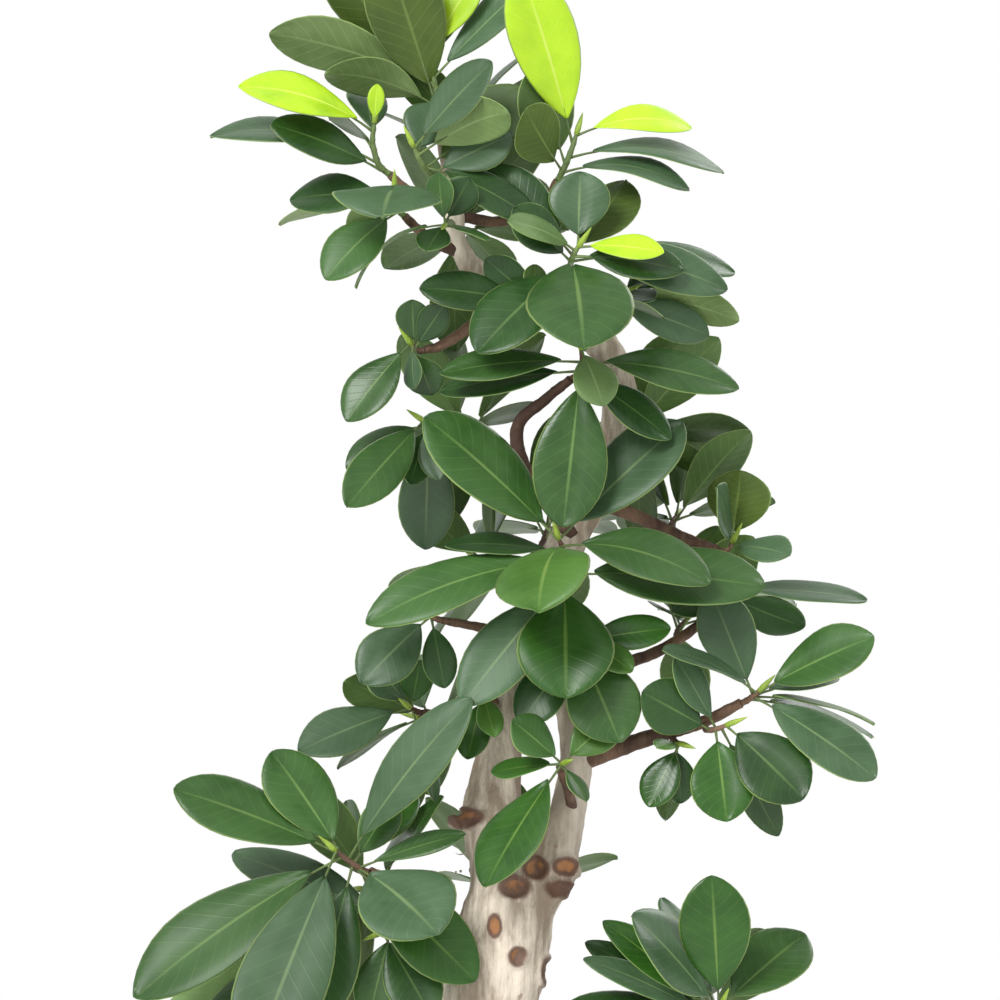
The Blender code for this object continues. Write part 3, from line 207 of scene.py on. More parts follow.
        (0.70, 6.4, -3.2, 38.1, 2.0, "UUF", 30, "s"), (0.25, 8.4, -0.8, 40.4, 2.3, "F", 12, "s"),
        (0.60, 13.6, 0.8, 36.9, 1.6, "UUF", 14, "s"), (0.80, 15.05, 0.6, 35.0, 1.6, "UUF", 26, "l"),
        (0.40, 15.1, 2.4, 34.4, 1.8, "UUF", 20, "s")]),
    "shoot_right_mid": ("branch_right", 0.76, (9.1, -1.6, 35.1), [
        (0.95, 12.0, -3.2, 32.2, 2.9, "FFU", 18, "d"), (0.35, 8.95, -3.0, 31.3, 2.6, "FFU", 18, "v"),
        (0.60, 6.9, -2.2, 37.8, 1.5, "FU", 12, "s"), (0.20, 5.6, -2.4, 36.4, 2.3, "FFU", 12, "d"),
        (0.80, 11.1, -0.9, 30.6, 1.5, "F", 12, "g")]),
    "shoot_right_inner": ("branch_right", 0.56, (7.2, -1.1, 34.3), [
        (0.90, 5.9, -1.6, 31.8, 1.6, "FU", 12, "v"), (1.00, 7.2, -1.8, 31.9, 1.4, "FU", 12, "d"),
        (0.60, 6.7, 0.8, 31.0, 1.2, "FU", 12, "g"), (1.00, 6.2, -2.4, 34.2, 0.9, "UF", 12, "b")]),
    "shoot_right_high": ("branch_mid_right", 1.0, (9.4, 1.4, 42.4), [
        (0.90, 9.7, 1.4, 45.2, 2.9, "BBR", 12, "o"), (0.80, 11.6, -0.4, 41.8, 1.8, "UF", 18, "s"),
        (0.20, 8.6, -0.8, 44.5, 2.2, "FU", 20, "s")]),
    "shoot_right_upper": ("branch_right_upper", 1.0, (9.3, 0.9, 40.5), [
        (0.90, 14.8, 1.6, 39.95, 2.0, "UUF", 18, "s"), (0.60, 12.0, 0.2, 39.8, 1.6, "UF", 20, "v"),
        (0.30, 12.3, 1.6, 38.9, 1.9, "F", 14, "d"), (0.10, 6.9, -0.2, 39.5, 1.6, "FU", 12, "d")]),
    "shoot_low_right": ("branch_low_right", 1.0, (8.8, -1.0, 23.9), [
        (1.00, 8.4, -1.6, 29.1, 2.9, "FFU", 10, "v"), (0.80, 5.2, -2.6, 27.6, 3.5, "FU", 16, "s"),
        (0.95, 12.3, -1.2, 26.5, 2.9, "FU", 12, "g"), (0.40, 4.1, -0.4, 27.2, 1.7, "FU", 16, "v"),
        (0.60, 6.5, 0.6, 28.0, 1.9, "FU", 16, "s"), (0.25, 3.4, 0.2, 26.3, 1.5, "UF", 18, "d"),
        (0.20, 3.3, -1.6, 25.8, 1.4, "UF", 18, "s"), (0.08, 2.2, -2.7, 23.4, 2.8, "FU", 16, "d")]),
}
# Shoots that fill the crown's back and the pads' undersides: their leaves follow a spiral.
# (branch, share of its length, end point, leaves, leaf length)
FILLED = {
    "shoot_low_right_back": ("branch_low_right", 0.86, (8.4, 1.6, 23.2), 7, 5.2),
    "shoot_low_left_back": ("branch_low_left", 0.80, (-5.6, 0.8, 28.4), 7, 5.4),
    "shoot_back_low": ("branch_back_low", 1.0, (0.2, 6.8, 28.2), 8, 5.6),
    "shoot_left_back": ("branch_left", 0.80, (-3.4, 3.4, 35.2), 6, 5.0),
    "shoot_upper_right_back": ("branch_right_upper", 0.70, (7.6, 2.9, 39.2), 6, 5.0),
    "shoot_back_mid": ("branch_back_mid", 1.0, (2.0, 6.8, 43.0), 8, 5.8),
    "shoot_back_mid_left": ("branch_back_mid", 0.62, (-0.9, 4.9, 41.6), 6, 5.2),
    "shoot_mid_right_back": ("branch_mid_right", 0.60, (7.2, 3.6, 43.4), 6, 5.0),
    "shoot_mid_left_back": ("branch_mid_left", 0.72, (-1.6, 3.0, 47.0), 7, 5.2),
    "shoot_trunk_back": ("trunk", 0.715, (5.6, 3.4, 46.8), 7, 5.4),
    "shoot_crown_back": ("trunk", 0.93, (-1.6, 2.8, 55.0), 7, 5.4),
    "shoot_crown_back_high": ("trunk", 0.97, (-1.6, 2.6, 59.6), 7, 5.4),
}

# ---------------------------------------------------------------- surface roots
# (direction in degrees, how far they run from the trunk's foot, thickness)
ROOTS = [(8, 4.6, 1.1), (62, 3.8, 0.9), (118, 4.2, 1.0), (171, 5.2, 1.15), (232, 4.4, 0.95), (301, 5.0, 1.1)]
ROOT_CROWN = (0.6, 0.0, 13.4)
GNARLED_UP_TO = 45

# ---------------------------------------------------------------- leaves
PETIOLE_SHARE = 0.13
PETIOLE_RADIUS = 0.055
OWN_CLEARANCE = 0.01
LEAF_THICKNESS = 0.1
LEAF_FOLD = 0.16
STATIONS = (0.28, 0.62, 0.88)
STEM_RADIUS = 0.13
BUD_RADIUS = 0.02
FIRST_LEAF = 0.4  # cm from the shoot's foot to its lowest leaf
HIGHEST_LEAF = 0.92
RING_SPACING = 0.3
FACE_TRIES = 7
CLEARANCE = 0.045
DEPTH_TRIES = (0, -0.5, 0.5, -1.0, 1.0, -1.6, 1.6, -2.3, 2.3, -3.1, 3.1, -4.0, 4.0)
ROLL_TRIES = (0, 16, -16, 34, -34)
SIDE_TRIES = ((0, 0), (0.35, 0), (-0.35, 0), (0, 0.35), (0, -0.35), (0.6, 0.6), (-0.6, -0.6))
FACES = {
    "F": (0, -1, 0), "B": (0, 1, 0), "L": (-1, 0, 0), "R": (1, 0, 0), "U": (0, 0, 1), "D": (0, 0, -1)}

def smooth_path(points, steps=4):
    """Catmull-Rom points (x, y, z, radius) through the given ones."""
    known = [Vector(point) for point in points]
    known = [2 * known[0] - known[1], *known, 2 * known[-1] - known[-2]]
    path = []
    for a, b, c, d in zip(known, known[1:], known[2:], known[3:]):
        for step in range(steps):
            t = step / steps
            curve = 2 * b + (c - a) * t + (2 * a - 5 * b + 4 * c - d) * t**2
            path.append((curve + (3 * b - a - 3 * c + d) * t**3) / 2)
    return path + [known[-2]]


def point_along(path, share):
    """The point (x, y, z, radius) at a share of the path's length, and the path's direction there."""
    lengths = [(b.xyz - a.xyz).length for a, b in zip(path, path[1:])]
    left = share * sum(lengths)
    for index, length in enumerate(lengths):
        if left <= length or index == len(lengths) - 1:
            a, b = path[index], path[index + 1]
            return a.lerp(b, min(left / length, 1)), (b.xyz - a.xyz).normalized()
        left -= length


def bowl_radius(z):
    """The pot's outer radius at a height below its rim."""
    rise = z / (RIM_TOP - RIM_HEIGHT)
    straight = FOOT_RADIUS + (RIM_RADIUS - WALL / 2 - FOOT_RADIUS) * rise
    return straight + BOWL_BULGE * math.sin(math.pi * rise) * (1 - rise / 2)


def root_path(direction, reach, thickness):
    angle = math.radians(direction)
    start = Vector(ROOT_CROWN)
    out = Vector((math.cos(angle), math.sin(angle), 0))
    stops = ((0.0, 0.0, 1.0), (0.38, -0.9, 1.0), (0.72, -1.9, 0.8), (1.0, -3.0, 0.5))
    return [
        (*(start + out * reach * share + Vector((0, 0, drop))), thickness * size)
        for share, drop, size in stops]


# ---------------------------------------------------------------- leaves
def blade_width(share):
    """Half the blade's width at a share of its length, for a blade 2 wide: widest past its middle."""
    return share**0.85 * (1 - share) ** 0.55 / 0.39


def facing(letters):
    return sum((Vector(FACES[letter]) for letter in letters), Vector())


class Leaf:
    """One leaf's frame: foot on the stem, tip, upper side, arch and half width."""

    def __init__(self, foot, tip, width, upper, arch, roll=0):
        self.foot = Vector(foot)
        self.along = Vector(tip) - self.foot
        axis = self.along.normalized()
        upper = upper - axis * upper.dot(axis)
        self.upper = (Matrix.Rotation(math.radians(roll), 3, axis) @ upper).normalized()
        self.side = axis.cross(self.upper)
        self.rise = self.along.length / 2 * math.tan(math.radians(arch) / 4)
        self.half = width / 2

    def at(self, along, across, up):
        """A point at shares of the leaf's length and half width, raised by up centimetres."""
        arch = 4 * self.rise * along * (1 - along)
        fold = LEAF_FOLD * self.half * abs(across)
        lift = self.upper * (arch + fold + up)
        return self.foot + self.along * along + self.side * across * self.half + lift

    def section(self, along, wide, thick):
        """Four points round the leaf, counter-clockwise seen from its tip."""
        return [self.at(along, wide * side, thick * up) for side, up in SECTION]

    def sections(self, extra=0.0):
        """The four-point sections from the petiole's far end to near the tip, grown by extra all round."""
        stalk = PETIOLE_RADIUS + extra
        yield self.section(PETIOLE_SHARE, stalk / self.half, stalk)
        for share in STATIONS:
            along = PETIOLE_SHARE + (1 - PETIOLE_SHARE) * share
            wide = blade_width(share) + extra / self.half
            yield self.section(along, wide, LEAF_THICKNESS / 2 + extra)

    def room(self, extra):
        """(points, faces) of the closed space the leaf takes up, petiole and all."""
        stalk = PETIOLE_RADIUS + extra
        rings = [self.section(0, stalk / self.half, stalk), *self.sections(extra)]
        points = [point for ring in rings for point in ring] + [self.at(1, 0, 0)]
        faces = [(3, 2, 1, 0)]
        for start in range(0, len(points) - 5, 4):
            for i in range(4):
                j = (i + 1) % 4
                faces.append((start + i, start + j, start + 4 + j, start + 4 + i))
        last = len(points) - 5
        faces += [(last + i, last + (i + 1) % 4, last + 4) for i in range(4)]
        return points, faces


SECTION = ((1, 0), (0, -1), (-1, 0), (0, 1))


class Placed:
    """What stands where, so that no leaf is put through another piece."""

    def __init__(self):
        self.pieces = []

    def add(self, owner, points, faces):
        low = Vector(map(min, zip(*points)))
        high = Vector(map(max, zip(*points)))
        self.pieces.append((owner, low, high, BVHTree.FromPolygons(points, faces)))

    def add_object(self, owner, made):
        points = [point.co / CM for point in made.data.vertices]
        self.add(owner, points, [tuple(face.vertices) for face in made.data.polygons])

    def is_free(self, owner, points, faces):
        low = Vector(map(min, zip(*points)))
        high = Vector(map(max, zip(*points)))
        body = BVHTree.FromPolygons(points, faces)
        for other, other_low, other_high, other_body in self.pieces:
            apart = any(low[i] > other_high[i] or high[i] < other_low[i] for i in range(3))
            if other != owner and not apart and body.overlap(other_body):
                return False
        return True


def variants(foot, tip, width, upper, arch):
    """Ways to hold a leaf, in order of how little they change its outline from the front."""
    for across, up in SIDE_TRIES:
        for depth in DEPTH_TRIES:
            for roll in ROLL_TRIES:
                yield Leaf(foot, Vector(tip) + Vector((across, depth, up)), width, upper, arch, roll)


def blade_of(points, faces):
    """The space of a leaf without its petiole."""
    return points, [face for face in faces if min(face) >= 4]


def settle(placed, siblings, own_stem, shoot, hold):
    """The first way to hold a leaf that touches nothing."""
    for leaf in variants(*hold):
        if not placed.is_free(shoot, *leaf.room(CLEARANCE)):
            continue
        small = leaf.room(OWN_CLEARANCE)
        if own_stem.is_free(None, *blade_of(*small)) and siblings.is_free(None, *small):
            placed.add(shoot, *leaf.room(CLEARANCE))
            siblings.add(shoot, *small)
            return leaf
    return None


def shoot_path(name, bearer, share, end):
    """A stem from just off the wood that bears it, curving out and then up to its end point."""
    wood, heading = point_along(PATHS[bearer], share)
    end = Vector(end)
    if share >= 0.995:
        start = wood.xyz + heading * GAP
    else:
        out = end - wood.xyz
        heading = (out - heading * out.dot(heading)).normalized()
        start = outer_face(bearer, wood.xyz, heading, wood.w) + heading * 2 * GAP
    knee = start + heading * (end - start).length * 0.45
    ends = [(*start, STEM_RADIUS), (*start.lerp(knee, 0.6), STEM_RADIUS), (*knee.lerp(end, 0.4), 0.11),
            (*knee.lerp(end, 0.8), 0.09), (*end, BUD_RADIUS)]
    curve = smooth_path(ends, 6)
    rings = max(6, round((end - start).length / RING_SPACING))
    path = [point_along(curve, index / rings)[0] for index in range(rings)]
    return [*path, Vector((*end, BUD_RADIUS))]


def outer_face(bearer, middle, heading, radius):
    """Where a line from the wood's middle leaves its skin."""
    skin = BVHTree.FromObject(WOOD[bearer], bpy.context.evaluated_depsgraph_get())
    hit = skin.ray_cast((middle + heading * 3 * radius) * CM, -heading)[0]
    return hit / CM


def spiral_leaves(path, count, length):
    """Leaves that fill a hidden shoot: a spiral that opens outwards and up."""
    leaves = []
    for index in range(count):
        share = 0.3 + 0.7 * index / (count - 1)
        foot, heading = point_along(path, share)
        turn = Matrix.Rotation(GOLDEN_ANGLE * index, 3, heading)
        out = turn @ heading.orthogonal().normalized()
        spread = math.radians(78 - 34 * index / count)
        along = heading * math.cos(spread) + out * math.sin(spread)
        along = (along + Vector((0, 0, 0.12))).normalized()
        size = length * (1 - 0.25 * index / count)
        upper = Vector((0, 0, 1.0)) + heading * 0.8
        leaves.append((share, *(foot.xyz + along * size), 0.44 * size, upper, 22, "g"))
    return leaves


def faces_by_fit(free_faces, path, share, tip):
    """The free faces of a stem that could bear a leaf, best first."""
    middle, heading = point_along(path, share)
    out = tip - middle.xyz
    out = (out - heading * out.dot(heading)).normalized()

    def misfit(face):
        off = (face.calc_center_median() / CM - middle.xyz).dot(heading)
        return 1.6 * abs(off) - face.normal.dot(out)

    return sorted(free_faces, key=misfit)[:FACE_TRIES]


def place_leaf(name, faces, siblings, own_stem, tip, hold):
    """The leaf and the stem's face that it grows from, or None where there is no room."""
    for face in faces:
        foot = face.calc_center_median() / CM
        leaf = settle(placed, siblings, own_stem, name, (foot, tip, *hold))
        if leaf:
            return face, leaf
    print("no room for a leaf of", name, "at", tuple(round(value, 1) for value in tip))
    return None


# ---------------------------------------------------------------- fine shapes
FINE_THICKNESS = 0.045
BLADE_FOLD = 0.20
FOLD_ROUNDING = 0.012
FOLD_SINK = 0.11
MARGIN_CURL = 0.13
RIPPLE_HEIGHT = 0.05
RIPPLE_TURNS = 7.5
TIP_DROOP = 0.05
DROOP_FROM = 0.7
RIB_DEPTH = {1: 0.012, -1: 0.02}  # the midrib sinks into the upper side (1) and stands out below (-1)
LEAF_SHADES = (0.82, 1.18)
SIDE_VEINS = 10.0
VEIN_SLANT = 2.1
PETIOLE_SIDES = 6
# along the leaf, radius
PETIOLE_RINGS = (
    (-0.02, 0.07), (0.03, 0.06), (PETIOLE_SHARE * 0.7, 0.05), (PETIOLE_SHARE + 0.05, 0.045),
    (PETIOLE_SHARE + 0.16, 0.02))
LEAF_ROWS = 16
LEAF_HALF_COLUMNS = 4
WIDTH_AT_FOOT = 0.9
WIDTH_AT_TIP = 0.68
WIDEST = 0.34
BUD_LENGTH = 0.8
BUD_PROFILE = [(-0.2, 0.1), (0.15, 0.125), (0.45, 0.1), (0.8, 0.05), (1, 0.012)]
BARK_VOXEL = 0.11
SWELLING = 0.45
SWELLING_SPACING = 3
# roughness of wood: depth, spacing, how far it is drawn out along Z
BARK_LUMPS = (0.10, 1.6, 0.35)
BARK_CRACKS = (0.045, 0.35, 0.4)
TWIG_LUMPS = (0.03, 0.3, 1.0)
SCAR_LIP = 0.14
SCAR_HOLLOW = 0.10
CRUMBS = 1500
CRUMB_REACH = 9.15
CRUMB_SIZES = (0.08, 0.30)
# scars on the front of the bark: x, z, half width, half height
SCARS = [
    (-1.3, 31.3, 1.0, 0.5), (0.7, 25.9, 0.5, 0.5), (1.8, 25.2, 0.4, 0.8), (0.6, 28.6, 0.8, 0.6),
    (2.6, 29.4, 0.6, 0.5), (1.4, 29.3, 0.7, 0.6), (2.4, 28.5, 0.8, 0.5), (-0.2, 27.1, 0.35, 0.6)]
# dead stubs: x, z at the bark, x, z at the tip, radius
STUBS = [
    (-1.4, 31.2, -1.9, 31.2, 0.35), (3.0, 29.1, 3.1, 29.2, 0.28),
    (-1.5, 29.8, -1.9, 29.9, 0.1), (-1.5, 29.2, -1.8, 29.1, 0.09)]
FINE_POT_STEPS = 144
RIGHT_ANGLE = math.pi / 2


def mesh_object(name, mesh):
    made = bpy.data.objects.new(name, mesh)
    bpy.context.scene.collection.objects.link(made)
    return made


def evaluated_mesh(made):
    bpy.context.view_layer.update()
    return bpy.data.meshes.new_from_object(made.evaluated_get(bpy.context.evaluated_depsgraph_get()))


def tube(name, path, sides_setting, swell=0.0):
    """A closed mesh tube along (x, y, z, radius) points; swell is added to every radius."""
    curve = bpy.data.curves.new(name, "CURVE")
    curve.dimensions = "3D"
    curve.bevel_depth = CM
    curve.bevel_resolution = sides_setting
    curve.use_fill_caps = True
    spline = curve.splines.new("POLY")
    spline.points.add(len(path) - 1)
    for point, (x, y, z, radius) in zip(spline.points, path):
        point.co = (x * CM, y * CM, z * CM, 1)
        point.radius = radius + swell
    guide = mesh_object(name + "_guide", curve)
    mesh = evaluated_mesh(guide)
    bpy.data.objects.remove(guide)
    shape = bmesh.new()
    shape.from_mesh(mesh)
    bmesh.ops.remove_doubles(shape, verts=shape.verts, dist=CM * 0.001)
    bmesh.ops.recalc_face_normals(shape, faces=shape.faces)
    shape.to_mesh(mesh)
    shape.free()
    return mesh_object(name, mesh)


def dress(made, node, slot, *materials):
    """Gives a piece its materials and smooth shading, hangs it on the root body and hides the CAD node it
    stands for, if one is given.
    """
    for material in materials:
        made.data.materials.append(material)
    made.data.shade_smooth()
    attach(made, "root")
    if node:
        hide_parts(node)
    return made


# ---------------------------------------------------------------- materials
def add(tree, kind, inputs=None, **settings):
    """A shader node with its settings and inputs; an input may be a number, a colour or a socket."""
    made = tree.nodes.new("ShaderNode" + kind)
    for key, value in settings.items():
        setattr(made, key, value)
    for key, value in (inputs or {}).items():
        if isinstance(value, bpy.types.NodeSocket):
            tree.links.new(value, made.inputs[key])
        else:
            made.inputs[key].default_value = value
    return made


def new_material(name):
    """A material, its node tree and its Principled shader."""
    material = bpy.data.materials.new(name)
    material.use_nodes = True
    return material, material.node_tree, material.node_tree.nodes["Principled BSDF"]


def maths(tree, operation, a, b=0.0):
    return add(tree, "Math", {0: a, 1: b}, operation=operation).outputs[0]


def band(tree, value, low, high, at_low, at_high):
    inputs = {"Value": value, "From Min": low, "From Max": high, "To Min": at_low, "To Max": at_high}
    return add(tree, "MapRange", inputs, interpolation_type="SMOOTHSTEP").outputs["Result"]


def blend(tree, share, a, b, mode="MIX"):
    """Two colours mixed: b shows where share is 1."""
    made = add(tree, "Mix", data_type="RGBA", blend_type=mode)
    for socket, value in zip((made.inputs[0], made.inputs[6], made.inputs[7]), (share, a, b)):
        if isinstance(value, bpy.types.NodeSocket):
            tree.links.new(value, socket)
        else:
            socket.default_value = value
    return made.outputs[2]


def rgb(red, green, blue):
    return (red, green, blue, 1.0)


def grain(tree, scale, detail=4.0, stretch=(1, 1, 1), rough=0.55):
    place = add(tree, "TexCoord").outputs["Object"]
    place = add(tree, "Mapping", {"Vector": place, "Scale": stretch}).outputs["Vector"]
    inputs = {"Vector": place, "Scale": scale, "Detail": detail, "Roughness": rough}
    return add(tree, "TexNoise", inputs).outputs["Fac"]


def leaf_material(name, main, deep, rib, margin, gloss, vein_strength):
    """A leaf's skin: mottled green, pale midrib, faint side veins and a light line along its margin."""
    material, tree, shader = new_material(name)
    place = add(tree, "SeparateXYZ", {0: add(tree, "UVMap", uv_map="leaf").outputs[0]})
    along = place.outputs["X"]
    across = maths(tree, "MULTIPLY", place.outputs["Y"], 2.0)
    edge = maths(tree, "ABSOLUTE", maths(tree, "SUBTRACT", across, 1.0))
    rib_line = band(tree, edge, 0.015, 0.06, 1, 0)
    rib_share = maths(tree, "MULTIPLY", rib_line, band(tree, along, 0.4, 1, 0.85, 0.25))
    slant = maths(tree, "MULTIPLY", edge, VEIN_SLANT)
    fan = maths(tree, "SUBTRACT", maths(tree, "MULTIPLY", along, SIDE_VEINS), slant)
    vein = band(tree, maths(tree, "PINGPONG", fan, 0.5), 0.0, 0.08, vein_strength, 0)
    line = band(tree, edge, 0.95, 0.985, 0, 0.85)
    cloud = grain(tree, 70.0)
    patch = grain(tree, 14.0, 2.0)
    colour = blend(tree, band(tree, cloud, 0.35, 0.7, 0, 1), rgb(*main), rgb(*deep))
    paler = rgb(*[channel * 1.5 + 0.004 for channel in main])
    colour = blend(tree, band(tree, patch, 0.4, 0.68, 0, 0.35), colour, paler)
    colour = blend(tree, vein, colour, rgb(*rib))
    colour = blend(tree, rib_share, colour, rgb(*rib))
    colour = blend(tree, line, colour, rgb(*margin))
    shade = add(tree, "Attribute", attribute_name="shade").outputs["Color"]
    colour = blend(tree, 1.0, colour, shade, "MULTIPLY")
    height = maths(tree, "ADD", maths(tree, "MULTIPLY", vein, -0.6), maths(tree, "MULTIPLY", cloud, 0.5))
    bump = add(tree, "Bump", {"Height": height, "Strength": 0.22, "Distance": 0.0012}).outputs["Normal"]
    tree.links.new(colour, shader.inputs["Base Color"])
    tree.links.new(band(tree, patch, 0.3, 0.7, gloss - 0.06, gloss + 0.1), shader.inputs["Roughness"])
    tree.links.new(bump, shader.inputs["Normal"])
    shader.inputs["Specular IOR Level"].default_value = 0.36
    return material


# tone: (main, deep, rib, gloss) of the upper side, then (main, deep) of the underside
TONES = {
    "d": ((0.022, 0.066, 0.013), (0.012, 0.042, 0.008), (0.090, 0.165, 0.045), 0.34,
          (0.060, 0.115, 0.022), (0.036, 0.080, 0.014)),
    "g": ((0.034, 0.090, 0.018), (0.020, 0.062, 0.011), (0.120, 0.210, 0.055), 0.33,
          (0.068, 0.130, 0.026), (0.045, 0.095, 0.018)),
    # s: a paler, blue-grey green on both sides, a painted sheen: the light these leaves reflect is painted
    # into their colour. Only their gloss is real roughness.
    "s": ((0.050, 0.100, 0.044), (0.032, 0.074, 0.028), (0.140, 0.215, 0.090), 0.38,
          (0.078, 0.130, 0.045), (0.052, 0.100, 0.032)),
    "b": ((0.068, 0.165, 0.026), (0.045, 0.120, 0.017), (0.190, 0.310, 0.070), 0.34,
          (0.095, 0.180, 0.030), (0.066, 0.140, 0.020)),
    "v": ((0.026, 0.092, 0.009), (0.015, 0.062, 0.006), (0.120, 0.220, 0.040), 0.31,
          (0.062, 0.135, 0.015), (0.040, 0.095, 0.010)),
    "l": ((0.130, 0.215, 0.070), (0.090, 0.165, 0.045), (0.250, 0.350, 0.140), 0.42,
          (0.155, 0.230, 0.080), (0.115, 0.185, 0.055)),
    "o": ((0.046, 0.095, 0.014), (0.030, 0.070, 0.009), (0.120, 0.190, 0.035), 0.36,
          (0.062, 0.105, 0.010), (0.040, 0.078, 0.007)),
    "y": ((0.360, 0.560, 0.014), (0.260, 0.460, 0.010), (0.560, 0.700, 0.110), 0.36,
          (0.400, 0.580, 0.018), (0.300, 0.480, 0.012))}
MARGIN = (0.300, 0.420, 0.130)


def wood_material(name, light, dark, spot, stretch, rough, scarred=False):
    """Bark: pale plates with darker cracks that run along the wood, and rusty specks."""
    material, tree, shader = new_material(name)
    cracks = grain(tree, 60.0, 8.0, (1, 1, stretch), 0.65)
    plates = grain(tree, 22.0, 4.0, (1, 1, stretch * 1.6))
    specks = grain(tree, 150.0, 3.0)
    colour = blend(tree, band(tree, cracks, 0.42, 0.62, 0, 1), rgb(*dark), rgb(*light))
    colour = blend(tree, band(tree, plates, 0.52, 0.68, 0, 0.7), colour, rgb(*[c * 0.5 for c in light]))
    colour = blend(tree, band(tree, specks, 0.66, 0.74, 0, 0.6), colour, rgb(*spot))
    if scarred:
        mark = add(tree, "Attribute", attribute_name="scar").outputs["Color"]
        scar = add(tree, "SeparateColor", {0: mark}).outputs[0]
        scar = maths(tree, "MULTIPLY", scar, band(tree, grain(tree, 40.0), 0.3, 0.55, 0.35, 1))
        colour = blend(tree, band(tree, scar, 0.05, 0.5, 0, 0.9), colour, rgb(0.115, 0.050, 0.028))
        colour = blend(tree, band(tree, scar, 0.75, 1.0, 0, 0.8), colour, rgb(0.420, 0.190, 0.070))
    height = maths(tree, "ADD", cracks, maths(tree, "MULTIPLY", specks, 0.4))
    bump = add(tree, "Bump", {"Height": height, "Strength": 0.8, "Distance": 0.0035}).outputs["Normal"]
    tree.links.new(colour, shader.inputs["Base Color"])
    tree.links.new(band(tree, cracks, 0.3, 0.7, rough + 0.05, rough - 0.1), shader.inputs["Roughness"])
    tree.links.new(bump, shader.inputs["Normal"])
    return material


def mineral_material(name, main, deep, speck, scale, speck_share, rough, depth):
    """Clay or earth: two-toned body with specks."""
    material, tree, shader = new_material(name)
    body = grain(tree, scale)
    specks = grain(tree, scale * 9, 2.0)
    colour = blend(tree, band(tree, body, 0.35, 0.65, 0, 1), rgb(*main), rgb(*deep))
    colour = blend(tree, band(tree, specks, 0.64, 0.7, 0, speck_share), colour, rgb(*speck))
    height = maths(tree, "ADD", body, maths(tree, "MULTIPLY", specks, 0.5))
    bump = add(tree, "Bump", {"Height": height, "Strength": 0.5, "Distance": depth}).outputs["Normal"]
    tree.links.new(colour, shader.inputs["Base Color"])
    tree.links.new(band(tree, specks, 0.3, 0.7, rough - 0.05, rough + 0.08), shader.inputs["Roughness"])
    tree.links.new(bump, shader.inputs["Normal"])
    return material


upper_skin = {}
under_skin = {}
for tone, (main, deep, rib, gloss, below, below_deep) in TONES.items():
    upper_skin[tone] = leaf_material("leaf_upper_" + tone, main, deep, rib, MARGIN, gloss, 0.16)
    under_skin[tone] = leaf_material("leaf_under_" + tone, below, below_deep, rib, MARGIN, gloss + 0.1, 0.4)
stalk_skin = wood_material(
    "green_stem", (0.150, 0.230, 0.060), (0.085, 0.130, 0.035),
    (0.120, 0.070, 0.030), 0.2, 0.5)
bud_skin = wood_material(
    "bud", (0.360, 0.500, 0.060), (0.220, 0.340, 0.030),
    (0.300, 0.260, 0.060), 0.2, 0.45)
twig_skin = wood_material(
    "twig_bark", (0.190, 0.110, 0.065), (0.070, 0.035, 0.022),
    (0.240, 0.120, 0.070), 0.25, 0.8)
bark_skin = wood_material(
    "trunk_bark", (0.760, 0.670, 0.550), (0.300, 0.235, 0.170),
    (0.200, 0.085, 0.045), 0.22, 0.85, True)
clay_skin = mineral_material(
    "stoneware", (0.560, 0.530, 0.480), (0.500, 0.465, 0.415),
    (0.240, 0.190, 0.150), 26, 0.7, 0.5, 0.0006)
earth_skin = mineral_material(
    "potting_soil", (0.060, 0.038, 0.025), (0.028, 0.018, 0.012),
    (0.180, 0.130, 0.090), 60, 0.6, 0.92, 0.003)


# ---------------------------------------------------------------- fine leaves
class Skin:
    """Points, faces, leaf coordinates and material numbers, gathered into one mesh."""

    def __init__(self):
        self.points = []
        self.faces = []
        self.places = []
        self.shades = []
        self.skins = []

    def point(self, point, along, across, shade):
        self.points.append(point * CM)
        self.places.append((along, across / 2 + 0.5))
        self.shades.append((shade, shade, shade, 1))
        return len(self.points) - 1

    def face(self, corners, skin):
        kept = [corner for i, corner in enumerate(corners) if corner not in corners[:i]]
        if len(kept) > 2:
            self.faces.append(kept)
            self.skins.append(skin)

    def made(self, name):
        mesh = bpy.data.meshes.new(name)
        mesh.from_pydata(self.points, [], self.faces)
        layer = mesh.uv_layers.new(name="leaf")
        for loop, uv in zip(mesh.loops, layer.data):
            uv.uv = self.places[loop.vertex_index]
        shade = mesh.color_attributes.new("shade", "FLOAT_COLOR", "POINT")
        for value, item in zip(self.shades, shade.data):
            item.color = value
        mesh.polygons.foreach_set("material_index", self.skins)
        return mesh_object(name, mesh)


def blade_height(leaf, across, share, wave):
    """How far the blade's surface rises at a place across it, above the chord's arch."""
    fold = BLADE_FOLD * leaf.half * (math.sqrt(across**2 + FOLD_ROUNDING) - FOLD_SINK)
    camber = -MARGIN_CURL * leaf.half * abs(across) ** 3
    ripple = RIPPLE_HEIGHT * leaf.half * across**2 * math.sin(RIPPLE_TURNS * share + wave + across)
    tip = -TIP_DROOP * leaf.along.length * max(0, share - DROOP_FROM) ** 1.5
    return fold + camber + ripple + tip


def fine_width(share):
    """A blade's half width against its widest, narrowing to a short blunt point."""
    return share**WIDTH_AT_FOOT * (1 - share) ** WIDTH_AT_TIP / WIDEST


